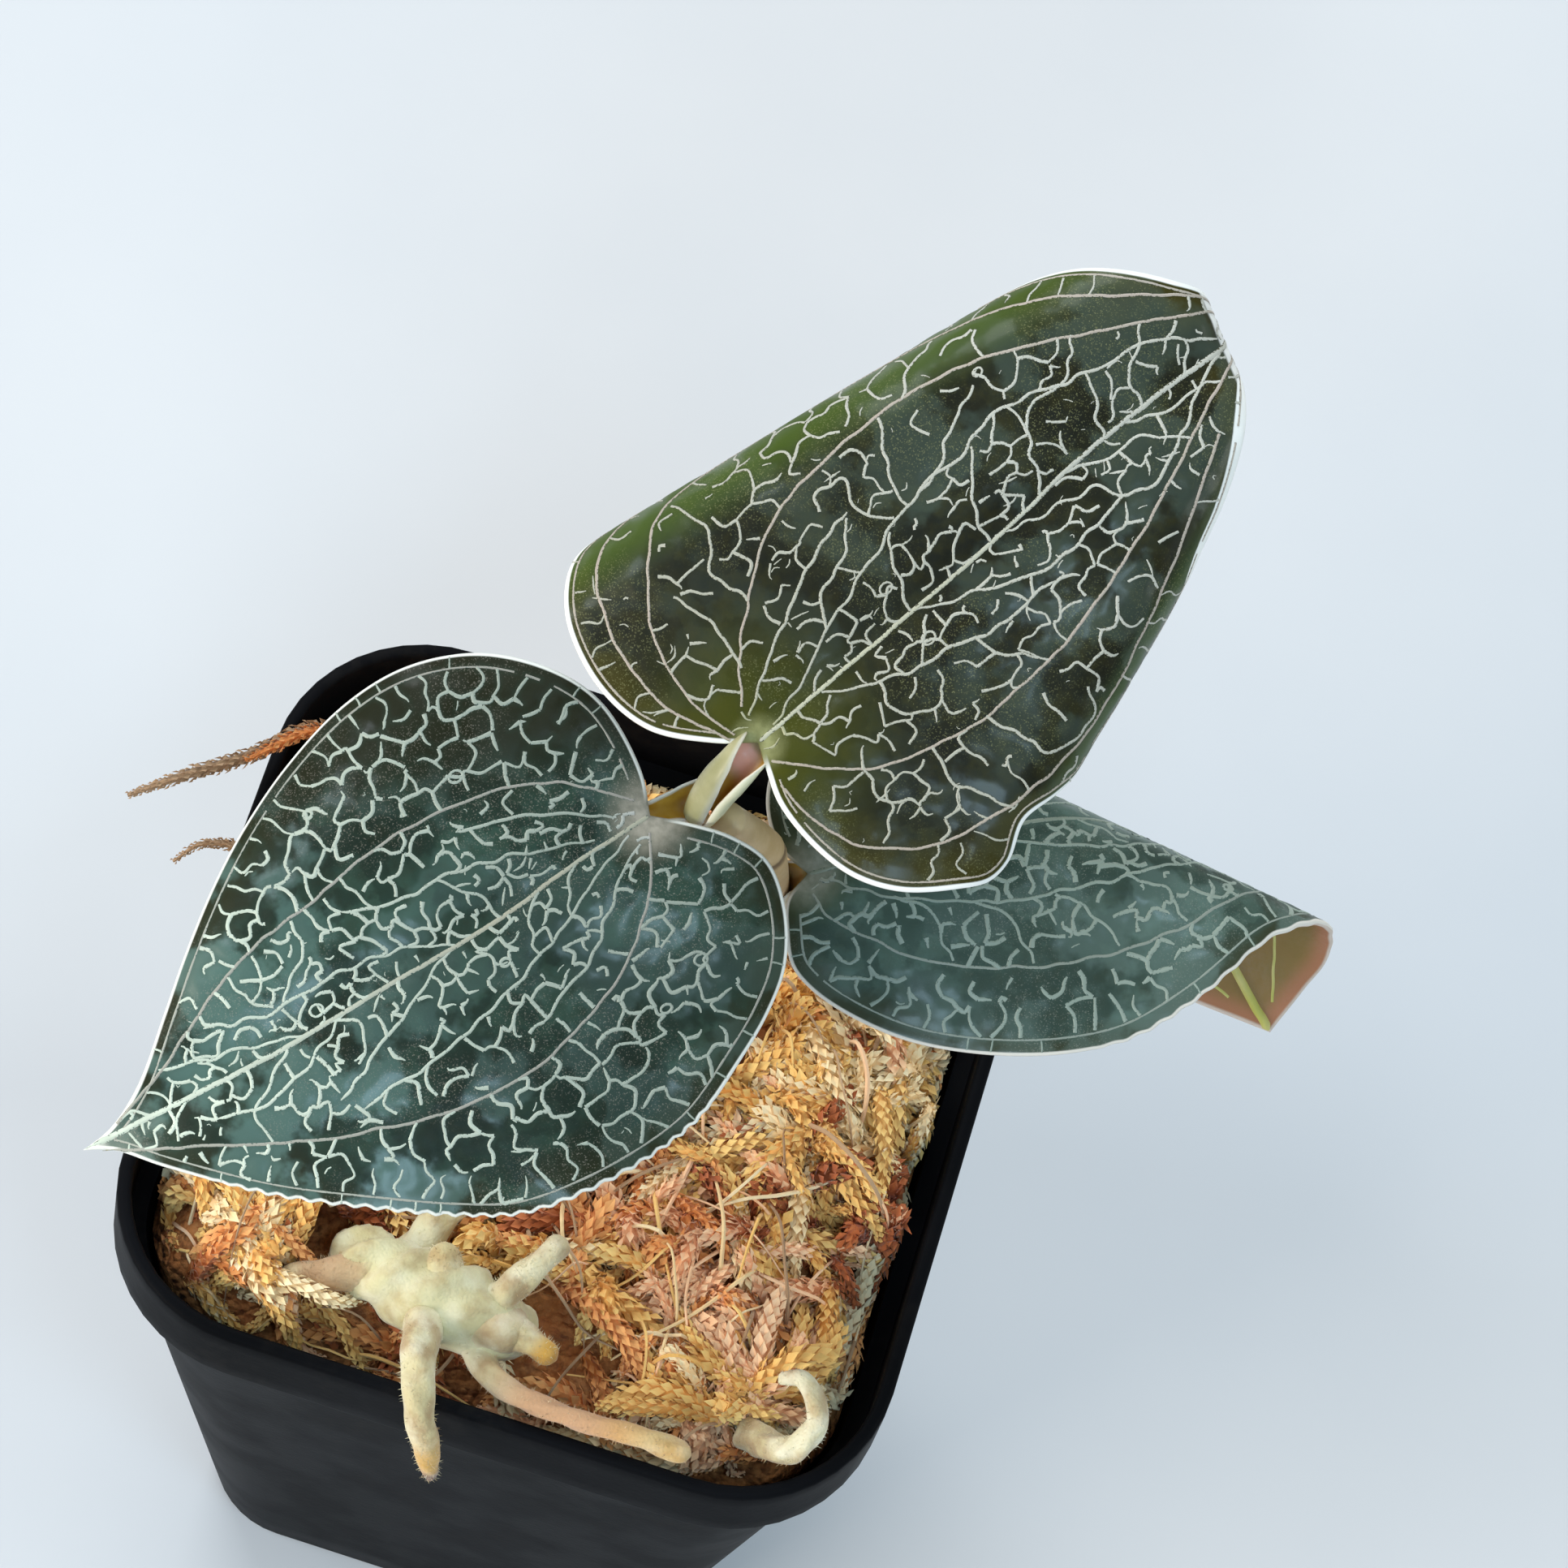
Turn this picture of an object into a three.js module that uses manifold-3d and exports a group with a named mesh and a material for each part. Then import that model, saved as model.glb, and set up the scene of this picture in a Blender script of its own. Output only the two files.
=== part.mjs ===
// A young jewel orchid with three leaves, standing in a small square nursery pot.
// Millimetres, +Z up. The origin is the centre of the pot's flat underside, and the pot's
// sides run along X and Y. The plant's leaves turn their faces towards -Y and upwards.
// Pieces are modelled with z = 0 at the pot's rim, and the whole group is then lifted.
import * as THREE from 'three';
import Module from 'manifold-3d';

const wasm = await Module();
wasm.setup();

// ---------------------------------------------------------------- driving dimensions
const CLEARANCE = 0.3; // gap between two pieces that touch

// Square nursery pot: tapered walls under a wider collar.
const POT = {
  height: 75,
  rim: 64, // outer width of the collar
  base: 44, // outer width of the foot
  wall: 1.2,
  floor: 2,
  collar: 8, // height of the collar
  collarStep: 1.4, // how far the collar stands out from the wall
  lipRound: 0.5, // chamfer at the top of the collar
  rimCorner: 13, // radius of the rounded upright edges at the collar
  baseCorner: 8,
  cornerSteps: 5,
  drainRadius: 2.6,
  drainOffset: 13, // of each drain hole from both middle planes
  drainSides: 12,
};

// Loose fibrous potting moss: a low, uneven bed with mounds, each [x, y, height, spread].
const BED = {
  level: -5.5,
  edgeLevel: -9,
  edgeBand: 5, // width in which the bed falls to its edge level
  rings: 8,
  fibres: 48,
  reach: 26, // fibres spring from a square of this half-width
  sink: 0.9, // depth of a fibre's root
  ripple: 0.5,
  seed: 5,
  mounds: [
    [-6, -23, 3, 6],
    [9, -17, 3.5, 7],
    [19, -11, 3, 5],
    [22, 4, 3, 6],
    [8, 6, 2.5, 9],
    [-28, 22, 4.5, 5],
    [14, 21, 2, 8],
    [-14, 2, 2.5, 8],
  ],
};

// A loose fibre of moss. Ranges are [least, most].
const FIBRE = {
  length: [7, 14],
  arch: [1.8, 4.2],
  radius: [0.75, 1.05],
  fan: 230, // degrees over which fibres spread, about the way to the pot's middle
  bend: 0.9, // most that a fibre turns sideways along its length, in radians
  droop: 1.2,
  tip: 0.6, // radius at the tip, as a share of the root's
  sides: 3,
  steps: 3,
};

// Fibres of the bed that reach out over the collar, each a list of [x, y, z].
const LONG_FIBRES = [
  [[-25, 21, -4], [-29, 20, 1.5], [-33.6, 14.8, 3], [-38, 11, 3.6], [-41.8, 8.2, 2.8]],
  [[-27, 10, -6], [-30, 8, 1], [-34.4, 6.6, 2.4], [-36.4, 4.4, 1.4]],
];

// Pale tufts of long-fibre moss on the bed: heart from end to end, its radius, and its fibres.
const TUFTS = {
  pale_moss_left: {
    heart: [[-24.5, -20, -4.5], [-20.5, -23, -2], [-16, -25.5, -4.5]], radius: 3.2, fibres: 12, seed: 11,
  },
  pale_moss_right: {
    heart: [[17, -2, -5], [22, 4, -2.4], [25, 10, -4.5]], radius: 3.4, fibres: 14, seed: 23,
  },
  pale_moss_front: {
    heart: [[17, -25, -4.8], [21.5, -22.5, -2.2], [24.5, -17, -4.8]], radius: 2.8, fibres: 11, seed: 35,
    hook: [[22, -25, -3], [25.4, -27, 2], [26.6, -25, 5.5], [24.6, -22.6, 6.2], [22.6, -22.2, 4]],
  },
};
const HEART_ENDS = 0.6; // radius of a tuft's heart at its ends, as a share of its middle
const LONG_RADII = [1, 0.9, 0.55];
const HOOK_RADII = [1.3, 1.2, 0.9];

// Creeping rhizome on the front left of the bed, with stout tapering roots.
const RHIZOME = {
  body: [[-13, -21, -2.5], [-9, -22.6, -0.6], [-4.5, -23.4, 0.2], [0, -23.8, -0.4], [3, -22.6, -3]],
  bodyRadii: [2.2, 2.9, 3.5, 3, 2],
  rootRadius: 1.7,
  rootTip: 0.75,
  roots: {
    overRim: [[-5, -24.5, 0], [-4.6, -29, 3.2], [-3.2, -33.4, 2.8], [-1.6, -35.4, -0.6], [-0.8, -35.6, -5.2]],
    upright: [[-1, -23.5, 0], [0.6, -21.6, 2.2], [3.6, -17, 4.4]],
    short: [[0.5, -23.8, -0.4], [3.2, -24.8, 1.4], [5.6, -25.6, 1.2]],
    alongRim: [[-1.5, -25, -1], [2, -28.6, 0.4], [8, -29.8, 1.4], [14, -29.9, 2.2], [18, -30, 2]],
    buried: [[-8, -21, -1], [-6, -15.5, -0.5], [-3, -11, -4.5]],
  },
};

// Upright stem: a polyline of [x, y, z, radius] from inside the bed to the top leaf joint.
const STEM = [
  [9, 6, -14, 1.7],
  [10.2, 5, 2, 1.75],
  [10.6, 4.9, 18, 1.6],
  [10.3, 4.9, 30, 1.8],
  [8.9, 4.2, 39, 1.5],
  [5.6, 2.1, 46, 1.55],
];

// Every blade lies near one plane that faces the light.
const LIGHT_TILT = 26.3; // degrees from upright, towards -Y
const BLADE = 0.7; // thickness
const MARGIN_STEPS = 28; // lines from the midrib to each margin
const ACROSS_STEPS = 6; // faces along such a line
const STEM_SIDES = 8;
const SMOOTH = { dome: 20, keel: 2.2, wave: 15, middle: 0.35 }; // see bladeLocal

// Leaves. `dome`, `keel` and `wave` are how far the blade droops 20 mm from its middle, sinks
// along its midrib and waves near its margins. `left` and `right` are the margins, from the
// notch at the petiole to the tip, as [along the midrib, to its left]. A roll bends the blade
// down, away from the light, past a line through `at` with a heading, up to `most` degrees.
const LEAVES = {
  leaf_1: {
    hub: [0.2, -0.4, 47.9],
    heading: 228.4,
    lobe: 0.3, // share of the margin that fans out from the hub
    dome: 2.2,
    keel: 0.5,
    wave: 0.5,
    left: [
      [-2.3, 2], [-4.4, 4.3], [-5.75, 7.2], [-5.1, 10.9], [-3, 14.5], [-0.1, 16.9], [3.5, 18.9],
      [8.2, 21], [12.6, 21.6], [18, 21.4], [22.9, 20.4], [27.1, 18.1], [32.4, 14.3], [38.1, 9.9], [43.9, 4.2],
      [46.6, 1.3],
    ],
    tip: [48.7, 0.1],
    right: [
      [-1.1, -3.1], [-1.2, -8.7], [0.4, -12.4], [4.4, -16.4], [10.1, -18.6], [15.7, -18.6],
      [21.3, -17], [26, -14.7], [30, -12.1], [34.6, -8.5], [38, -5.6], [42.5, -2], [46, -0.3],
    ],
    rolls: [{ at: [10, -13], heading: 20, side: -1, radius: 14, most: 50 }],
    petiole: [[4.5, 1.2, 45.9], [2.4, 0.6, 46.9], [-0.6, -1.2, 47], [-2.6, -3.2, 46]],
  },
  leaf_2: {
    hub: [6.1, 5, 53.9],
    heading: 58.4,
    lobe: 0.3,
    dome: 2,
    keel: 0.6,
    wave: 0.5,
    left: [
      [-2.5, 2.1], [-5.5, 5.9], [-6.3, 10.4], [-5.2, 15.3], [-3, 18.4], [0, 21], [5, 23], [12, 23.4],
      [20, 22], [28, 19.3], [35, 15.6], [39.5, 12.3], [43.5, 8], [46, 4.6], [48.4, 2.2],
    ],
    tip: [51, 0.2],
    right: [
      [-0.9, -2], [-1.75, -4.3], [-1.9, -8.1], [-1.1, -11.9], [0.9, -15], [4.3, -17.6], [7.2, -19],
      [13, -20.1], [19, -20.2], [25, -18.5], [31, -15.2], [37, -10.6], [40.6, -6.8], [44.6, -3.2],
      [48.2, -1.3],
    ],
    rolls: [
      { at: [2.7, 14.1], heading: -9.4, side: 1, radius: 4.4, most: 130 },
      { at: [15.9, -12.8], heading: 19.6, side: -1, radius: 3.7, most: 130 },
      { at: [42.8, 0], heading: 72, side: -1, radius: 1.9, most: 110 },
    ],
    petiole: [[5.4, 1.9, 46.4], [5.2, 2.8, 49.8], [6, 4.8, 52.8], [7.4, 7.4, 54.6]],
  },
  leaf_3: {
    hub: [12.6, 5.6, 34.2],
    heading: 29.5,
    lobe: 0.28,
    dome: 1.6,
    keel: 0.5,
    wave: 0.6,
    left: [
      [-1.8, 2.5], [-2, 6], [0, 10], [4, 13.5], [10, 16], [17, 16.5], [24, 15], [31, 12], [37, 8],
      [42.2, 3.9], [45.5, 1.2],
    ],
    tip: [47.1, -0.1],
    right: [
      [-1.9, -1.6], [-2.5, -4], [-2.6, -6.5], [-1.7, -8.4], [0.6, -10.9], [5, -14], [10.8, -16.2],
      [16.9, -17.3], [21.9, -17.1], [27.3, -15.1], [33, -12], [36.5, -11], [40.9, -9.3], [44.2, -6.6],
      [45.4, -4],
    ],
    rolls: [{ at: [18.8, -3.6], heading: -36.3, side: 1, radius: 4.8, most: 180 }],
    petiole: [[10.2, 5, 30], [11, 5.2, 31.8], [12.6, 5.8, 33], [15, 7, 33.6]],
  },
};
const PETIOLE_RADII = [1.3, 1.25, 1.15, 0.8];
const LEAN = 0.85; // below 1, faces are narrower towards the margin

// Finishes.
const FINISH = {
  pot: new THREE.MeshStandardMaterial({ color: 0x14171a, roughness: 0.5, metalness: 0 }),
  moss: new THREE.MeshStandardMaterial({ color: 0x9a6238, roughness: 0.95, metalness: 0 }),
  paleMoss: new THREE.MeshStandardMaterial({ color: 0xd9b77c, roughness: 0.95, metalness: 0 }),
  root: new THREE.MeshStandardMaterial({ color: 0xd8d2a2, roughness: 0.8, metalness: 0 }),
  stem: new THREE.MeshStandardMaterial({ color: 0x8b8a5e, roughness: 0.6, metalness: 0 }),
  leaf: new THREE.MeshStandardMaterial({ color: 0x2f4640, roughness: 0.45, metalness: 0 }),
};

// ---------------------------------------------------------------- helpers
const radians = THREE.MathUtils.degToRad;
const point = (list) => new THREE.Vector3(list[0], list[1], list[2]);

function seededRandom(seed) {
  let state = seed;
  return () => {
    state = (state + 0x6d2b79f5) | 0;
    let t = Math.imul(state ^ (state >>> 15), 1 | state);
    t = (t + Math.imul(t ^ (t >>> 7), 61 | t)) ^ t;
    return ((t ^ (t >>> 14)) >>> 0) / 4294967296;
  };
}

function geometryOf(vertices, triangles) {
  const geometry = new THREE.BufferGeometry();
  const flat = vertices.flatMap((vertex) => [vertex.x, vertex.y, vertex.z]);
  geometry.setAttribute('position', new THREE.Float32BufferAttribute(flat, 3));
  geometry.setIndex(triangles.flat());
  return geometry;
}

// Closed mesh with shared vertices to solid, and back.
function solidOf(geometry) {
  return new wasm.Manifold(new wasm.Mesh({
    numProp: 3,
    vertProperties: Float32Array.from(geometry.attributes.position.array),
    triVerts: Uint32Array.from(geometry.index.array),
  }));
}

function geometryOfSolid(solid) {
  const mesh = solid.getMesh();
  const geometry = new THREE.BufferGeometry();
  geometry.setAttribute('position', new THREE.BufferAttribute(mesh.vertProperties, 3));
  geometry.setIndex(new THREE.BufferAttribute(mesh.triVerts, 1));
  return geometry;
}

const joined = (solids) => solids.reduce((whole, solid) => whole.add(solid));
const cutBy = (solid, tools) => tools.reduce((rest, tool) => rest.subtract(tool), solid);

// The largest connected body of a solid: what a cut leaves loose is dropped.
function largestBody(solid) {
  const mesh = solid.getMesh();
  const parent = Array.from({ length: mesh.vertProperties.length / 3 }, (_, index) => index);
  const rootOf = (index) => {
    while (parent[index] !== index) {
      parent[index] = parent[parent[index]];
      index = parent[index];
    }
    return index;
  };
  for (let t = 0; t < mesh.triVerts.length; t += 3) {
    parent[rootOf(mesh.triVerts[t])] = rootOf(mesh.triVerts[t + 1]);
    parent[rootOf(mesh.triVerts[t + 1])] = rootOf(mesh.triVerts[t + 2]);
  }
  const counts = new Map();
  for (const vertex of mesh.triVerts) {
    counts.set(rootOf(vertex), (counts.get(rootOf(vertex)) ?? 0) + 1);
  }
  const biggest = [...counts.entries()].sort((a, b) => b[1] - a[1])[0][0];
  const triangles = mesh.triVerts.filter((_, i) => rootOf(mesh.triVerts[i - (i % 3)]) === biggest);
  return solidOf({
    attributes: { position: { array: mesh.vertProperties } },
    index: { array: triangles },
  });
}

// A closed skin over a stack of rings with equally many points, capped at both ends.
function loft(rings) {
  const count = rings[0].length;
  const vertices = rings.flat();
  const triangles = [];
  for (let r = 0; r + 1 < rings.length; r += 1) {
    for (let i = 0; i < count; i += 1) {
      const a = r * count + i;
      const b = r * count + (i + 1) % count;
      triangles.push([a, b, b + count], [a, b + count, a + count]);
    }
  }
  const capCentre = (ring) => ring
    .reduce((sum, vertex) => sum.add(vertex), new THREE.Vector3())
    .divideScalar(count);
  const first = vertices.push(capCentre(rings[0])) - 1;
  const last = vertices.push(capCentre(rings.at(-1))) - 1;
  const top = (rings.length - 1) * count;
  for (let i = 0; i < count; i += 1) {
    const next = (i + 1) % count;
    triangles.push([first, next, i], [last, top + i, top + next]);
  }
  return geometryOf(vertices, triangles);
}

// A tapering limb along a smooth curve, closed at both ends; `grow` makes it wider and longer.
function limb(points, radii, sides, steps, grow = 0) {
  const curve = new THREE.CatmullRomCurve3(points.map(point));
  const rings = [];
  let side = new THREE.Vector3(0, 0, 1);
  if (Math.abs(curve.getTangentAt(0).z) > 0.7) side.set(1, 0, 0);
  for (let k = 0; k <= steps; k += 1) {
    const t = k / steps;
    const tangent = curve.getTangentAt(t);
    side = side.clone().addScaledVector(tangent, -side.dot(tangent)).normalize();
    const up = new THREE.Vector3().crossVectors(tangent, side);
    const place = t * (radii.length - 1);
    const low = Math.min(Math.floor(place), radii.length - 2);
    const radius = THREE.MathUtils.lerp(radii[low], radii[low + 1], place - low) + grow;
    const centre = curve.getPointAt(t);
    if (k === 0) centre.addScaledVector(tangent, -grow);
    if (k === steps) centre.addScaledVector(tangent, grow);
    rings.push(Array.from({ length: sides }, (_, i) => {
      const angle = (i / sides) * 2 * Math.PI;
      return centre.clone()
        .addScaledVector(side, radius * Math.cos(angle))
        .addScaledVector(up, radius * Math.sin(angle));
    }));
  }
  return solidOf(loft(rings));
}

// ---------------------------------------------------------------- pot
function roundedSquare(half, corner, z, steps) {
  const ring = [];
  for (let quarter = 0; quarter < 4; quarter += 1) {
    const middle = radians(45 + 90 * quarter);
    const cx = Math.sign(Math.cos(middle)) * (half - corner);
    const cy = Math.sign(Math.sin(middle)) * (half - corner);
    for (let i = 0; i <= steps; i += 1) {
      const angle = radians(90 * quarter + (90 * i) / steps);
      ring.push(new THREE.Vector3(cx + corner * Math.cos(angle), cy + corner * Math.sin(angle), z));
    }
  }
  return ring;
}

// Half-width and corner radius of the pot wall's outside at a height below the rim.
function wallAt(z) {
  const share = (z + POT.height) / (POT.height - POT.collar);
  const top = POT.rim / 2 - POT.collarStep;
  return {
    half: THREE.MathUtils.lerp(POT.base / 2, top, share),
    corner: THREE.MathUtils.lerp(POT.baseCorner, POT.rimCorner - POT.collarStep, share),
  };
}

// One ring of the pot at a height, set in from the wall's outside by `inset`.
function potRing(z, inset, steps = POT.cornerSteps) {
  const outside = wallAt(Math.min(z, -POT.collar));
  return roundedSquare(outside.half - inset, outside.corner - inset, z, steps);
}

// The pot shell; `grow` thickens it on every side, for cutting clearance in what lies in it.
function potShell(grow = 0) {
  const foot = -POT.height;
  const collarFoot = -POT.collar;
  const proud = -POT.collarStep - grow;
  const inner = POT.wall + grow;
  const collarInner = POT.wall - POT.collarStep + grow;
  return solidOf(loft([
    potRing(foot - grow, -grow),
    potRing(collarFoot - POT.lipRound - grow, -grow),
    potRing(collarFoot - grow, proud),
    potRing(-POT.lipRound, proud),
    potRing(grow, proud + POT.lipRound),
    potRing(grow, collarInner),
    potRing(collarFoot + grow, inner),
    potRing(foot + POT.floor + grow, inner),
  ]));
}

function potSolid() {
  const drains = [];
  for (const x of [-POT.drainOffset, POT.drainOffset]) {
    for (const y of [-POT.drainOffset, POT.drainOffset]) {
      const bottom = -POT.height - 1;
      const hole = [[x, y, bottom], [x, y, bottom + POT.floor + 2]];
      drains.push(limb(hole, [POT.drainRadius, POT.drainRadius], POT.drainSides, 1));
    }
  }
  return cutBy(potShell(), drains);
}

// ---------------------------------------------------------------- potting moss
function bedHeight(x, y) {
  const toWall = wallAt(BED.level).half - POT.wall - Math.max(Math.abs(x), Math.abs(y));
  const share = THREE.MathUtils.smoothstep(toWall, 0, BED.edgeBand);
  const ripple = BED.ripple * Math.sin(x * 0.9 + y * 0.4) * Math.cos(y * 0.8 - x * 0.3);
  const mounds = BED.mounds.reduce((sum, [mx, my, height, spread]) => (
    sum + height * Math.exp(-((x - mx) ** 2 + (y - my) ** 2) / (2 * spread ** 2))), 0);
  return THREE.MathUtils.lerp(BED.edgeLevel, BED.level + ripple + mounds, share);
}

function bedCore() {
  const inset = POT.wall + CLEARANCE + 0.05;
  const rings = [potRing(POT.floor + CLEARANCE - POT.height, inset)];
  const edge = potRing(BED.edgeLevel, inset);
  for (let k = 0; k < BED.rings; k += 1) {
    const share = 1 - k / BED.rings;
    rings.push(edge.map((vertex) => {
      const x = vertex.x * share;
      const y = vertex.y * share;
      return new THREE.Vector3(x, y, bedHeight(x, y));
    }));
  }
  return solidOf(loft(rings));
}

// A loose fibre that springs from (x, y, z), arches up and droops, mostly away from the pot's
// wall. Its root is sunk well in.
function fibre(random, x, y, z, grow = 0) {
  const between = ([least, most]) => least + (most - least) * random();
  const heading = Math.atan2(-y, -x) + (random() - 0.5) * radians(FIBRE.fan);
  const length = between(FIBRE.length);
  const arch = between(FIBRE.arch);
  const bend = between([-FIBRE.bend, FIBRE.bend]);
  const radius = between(FIBRE.radius);
  const path = [0, 0.33, 0.67, 1].map((share) => {
    const turn = heading + bend * share;
    const out = length * share;
    const lift = arch * Math.sin(Math.PI * (0.08 + 0.8 * share)) - FIBRE.droop * share ** 2;
    return [x + Math.cos(turn) * out, y + Math.sin(turn) * out, z + lift];
  });
  return limb(path, [radius, radius, radius * FIBRE.tip], FIBRE.sides, FIBRE.steps, grow);
}

function mossBed(cutters) {
  const random = seededRandom(BED.seed);
  const fibres = Array.from({ length: BED.fibres }, () => {
    const x = (random() * 2 - 1) * BED.reach;
    const y = (random() * 2 - 1) * BED.reach;
    return fibre(random, x, y, bedHeight(x, y) - BED.sink);
  });
  const long = LONG_FIBRES.map((path) => limb(path, LONG_RADII, 5, 8));
  return largestBody(cutBy(joined([bedCore(), ...fibres, ...long]), cutters));
}

// A tuft of pale moss: a low heart, and fibres that spring from all over it.
function tuftSolid(tuft, grow = 0) {
  const random = seededRandom(tuft.seed);
  const spine = new THREE.CatmullRomCurve3(tuft.heart.map(point));
  const fibres = Array.from({ length: tuft.fibres }, (_, i) => {
    const root = spine.getPointAt((i + 0.5) / tuft.fibres);
    root.x += (random() - 0.5) * tuft.radius;
    root.y += (random() - 0.5) * tuft.radius;
    return fibre(random, root.x, root.y, root.z + tuft.radius * 0.45, grow);
  });
  const end = tuft.radius * HEART_ENDS;
  const hook = tuft.hook ? [limb(tuft.hook, HOOK_RADII, 5, 8, grow)] : [];
  return joined([limb(tuft.heart, [end, tuft.radius, end], 8, 6, grow), ...hook, ...fibres]);
}

// ---------------------------------------------------------------- rhizome, roots and stem
function rhizomeSolid(grow = 0) {
  const roots = Object.values(RHIZOME.roots).map((path) => (
    limb(path, [RHIZOME.rootRadius, RHIZOME.rootRadius * 0.9, RHIZOME.rootTip], 8, 8, grow)));
  return joined([limb(RHIZOME.body, RHIZOME.bodyRadii, 10, 8, grow), ...roots]);
}

function stemSolid(grow = 0) {
  return limb(STEM, STEM.map((entry) => entry[3]), STEM_SIDES, 14, grow);
}

// ---------------------------------------------------------------- leaves
const LIGHT = new THREE.Vector3(0, -Math.sin(radians(LIGHT_TILT)), Math.cos(radians(LIGHT_TILT)));
const LEVEL = new THREE.Vector3(1, 0, 0);
const UPHILL = new THREE.Vector3().crossVectors(LIGHT, LEVEL);

// Where a point of the flat blade comes to lie: [along, left, towards the light].
function bladeLocal(leaf, u, v) {
  const middle = leaf.tip[0] * SMOOTH.middle;
  let along = u;
  let left = v;
  let rise = -leaf.dome * ((u - middle) ** 2 + v ** 2 - middle ** 2) / SMOOTH.dome ** 2;
  rise -= leaf.keel * Math.exp(-((v / SMOOTH.keel) ** 2));
  const phase = (2 * Math.PI * u) / SMOOTH.wave + (v > 0 ? 0 : 2);
  rise += leaf.wave * Math.sin(phase) * (Math.abs(v) / SMOOTH.dome) ** 3;
  for (const roll of leaf.rolls) {
    const heading = radians(roll.heading);
    const acrossU = -Math.sin(heading) * roll.side;
    const acrossV = Math.cos(heading) * roll.side;
    const past = (u - roll.at[0]) * acrossU + (v - roll.at[1]) * acrossV;
    if (past > 0) {
      const angle = Math.min(past / roll.radius, radians(roll.most));
      const straight = past - angle * roll.radius;
      const kept = roll.radius * Math.sin(angle) + straight * Math.cos(angle);
      along += (kept - past) * acrossU;
      left += (kept - past) * acrossV;
      rise -= roll.radius * (1 - Math.cos(angle)) + straight * Math.sin(angle);
    }
  }
  return [along, left, rise];
}

function bladePoint(leaf, u, v) {
  const [along, left, rise] = bladeLocal(leaf, u, v);
  const heading = radians(leaf.heading);
  const forward = LEVEL.clone().multiplyScalar(Math.cos(heading)).addScaledVector(UPHILL, Math.sin(heading));
  const side = new THREE.Vector3().crossVectors(LIGHT, forward);
  return point(leaf.hub)
    .addScaledVector(forward, along)
    .addScaledVector(side, left)
    .addScaledVector(LIGHT, rise);
}

function bladeNormal(leaf, u, v) {
  const step = 0.05;
  const here = bladePoint(leaf, u, v);
  const du = bladePoint(leaf, u + step, v).sub(here);
  const dv = bladePoint(leaf, u, v + step).sub(here);
  return du.cross(dv).normalize();
}

// Points of the flat blade: lines from the midrib to one margin, evenly spaced along the margin.
function bladeLines(leaf, margin) {
  const outline = [[0, 0], ...margin, leaf.tip].map(([u, v]) => new THREE.Vector3(u, v, 0));
  const curve = new THREE.CatmullRomCurve3(outline, false, 'centripetal');
  const edge = curve.getSpacedPoints(MARGIN_STEPS);
  return edge.slice(1).map((end, index) => {
    const share = (index + 1) / MARGIN_STEPS;
    const onMidrib = Math.max(0, (share - leaf.lobe) / (1 - leaf.lobe)) ** 1.15;
    const foot = new THREE.Vector3(leaf.tip[0] * onMidrib, leaf.tip[1] * onMidrib, 0);
    return Array.from({ length: ACROSS_STEPS + 1 }, (_, j) => (
      foot.clone().lerp(end, (j / ACROSS_STEPS) ** LEAN)));
  });
}

function bladeSolid(leaf) {
  const flat = [];
  const known = new Map();
  const indexOf = (p) => {
    const key = `${p.x.toFixed(4)},${p.y.toFixed(4)}`;
    if (!known.has(key)) known.set(key, flat.push(p) - 1);
    return known.get(key);
  };
  const faces = [];
  for (const [margin, turn] of [[leaf.left, 1], [leaf.right, -1]]) {
    const lines = bladeLines(leaf, margin).map((line) => line.map(indexOf));
    const addFace = (a, b, c) => {
      if (a === b || b === c || c === a) return;
      faces.push(turn > 0 ? [a, b, c] : [a, c, b]);
    };
    for (let i = 0; i + 1 < lines.length; i += 1) {
      for (let j = 0; j < ACROSS_STEPS; j += 1) {
        const [a, b] = [lines[i][j], lines[i][j + 1]];
        const [c, d] = [lines[i + 1][j], lines[i + 1][j + 1]];
        addFace(a, c, d);
        addFace(a, d, b);
      }
    }
  }
  // Edges used by one face only are the rim of the blade.
  const seen = new Map();
  faces.forEach(([a, b, c]) => [[a, b], [b, c], [c, a]].forEach(([p, q]) => {
    const key = p < q ? `${p},${q}` : `${q},${p}`;
    seen.set(key, seen.has(key) ? null : [p, q]);
  }));
  const count = flat.length;
  const vertices = [];
  for (const face of [0.5, -0.5]) {
    for (const p of flat) {
      vertices.push(bladePoint(leaf, p.x, p.y).addScaledVector(bladeNormal(leaf, p.x, p.y), face * BLADE));
    }
  }
  const triangles = [];
  for (const [a, b, c] of faces) triangles.push([a, b, c], [a + count, c + count, b + count]);
  for (const edge of seen.values()) {
    if (edge) {
      const [p, q] = edge;
      triangles.push([q, p, p + count], [q, p + count, q + count]);
    }
  }
  return solidOf(geometryOf(vertices, triangles));
}

const petioleSolid = (leaf, grow = 0) => limb(leaf.petiole, PETIOLE_RADII, STEM_SIDES, 6, grow);

// ---------------------------------------------------------------- the assembly
const orchid = new THREE.Group();
orchid.position.z = POT.height;

function place(name, solid, material) {
  const mesh = new THREE.Mesh(geometryOfSolid(solid), material);
  mesh.name = name;
  orchid.add(mesh);
}

const potClear = potShell(CLEARANCE);
const stemClear = stemSolid(CLEARANCE);
const rhizomeClear = rhizomeSolid(CLEARANCE);

place('pot', potSolid(), FINISH.pot);
place('stem', stemSolid(), FINISH.stem);
place('rhizome', cutBy(rhizomeSolid(), [potClear]), FINISH.root);

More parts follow.
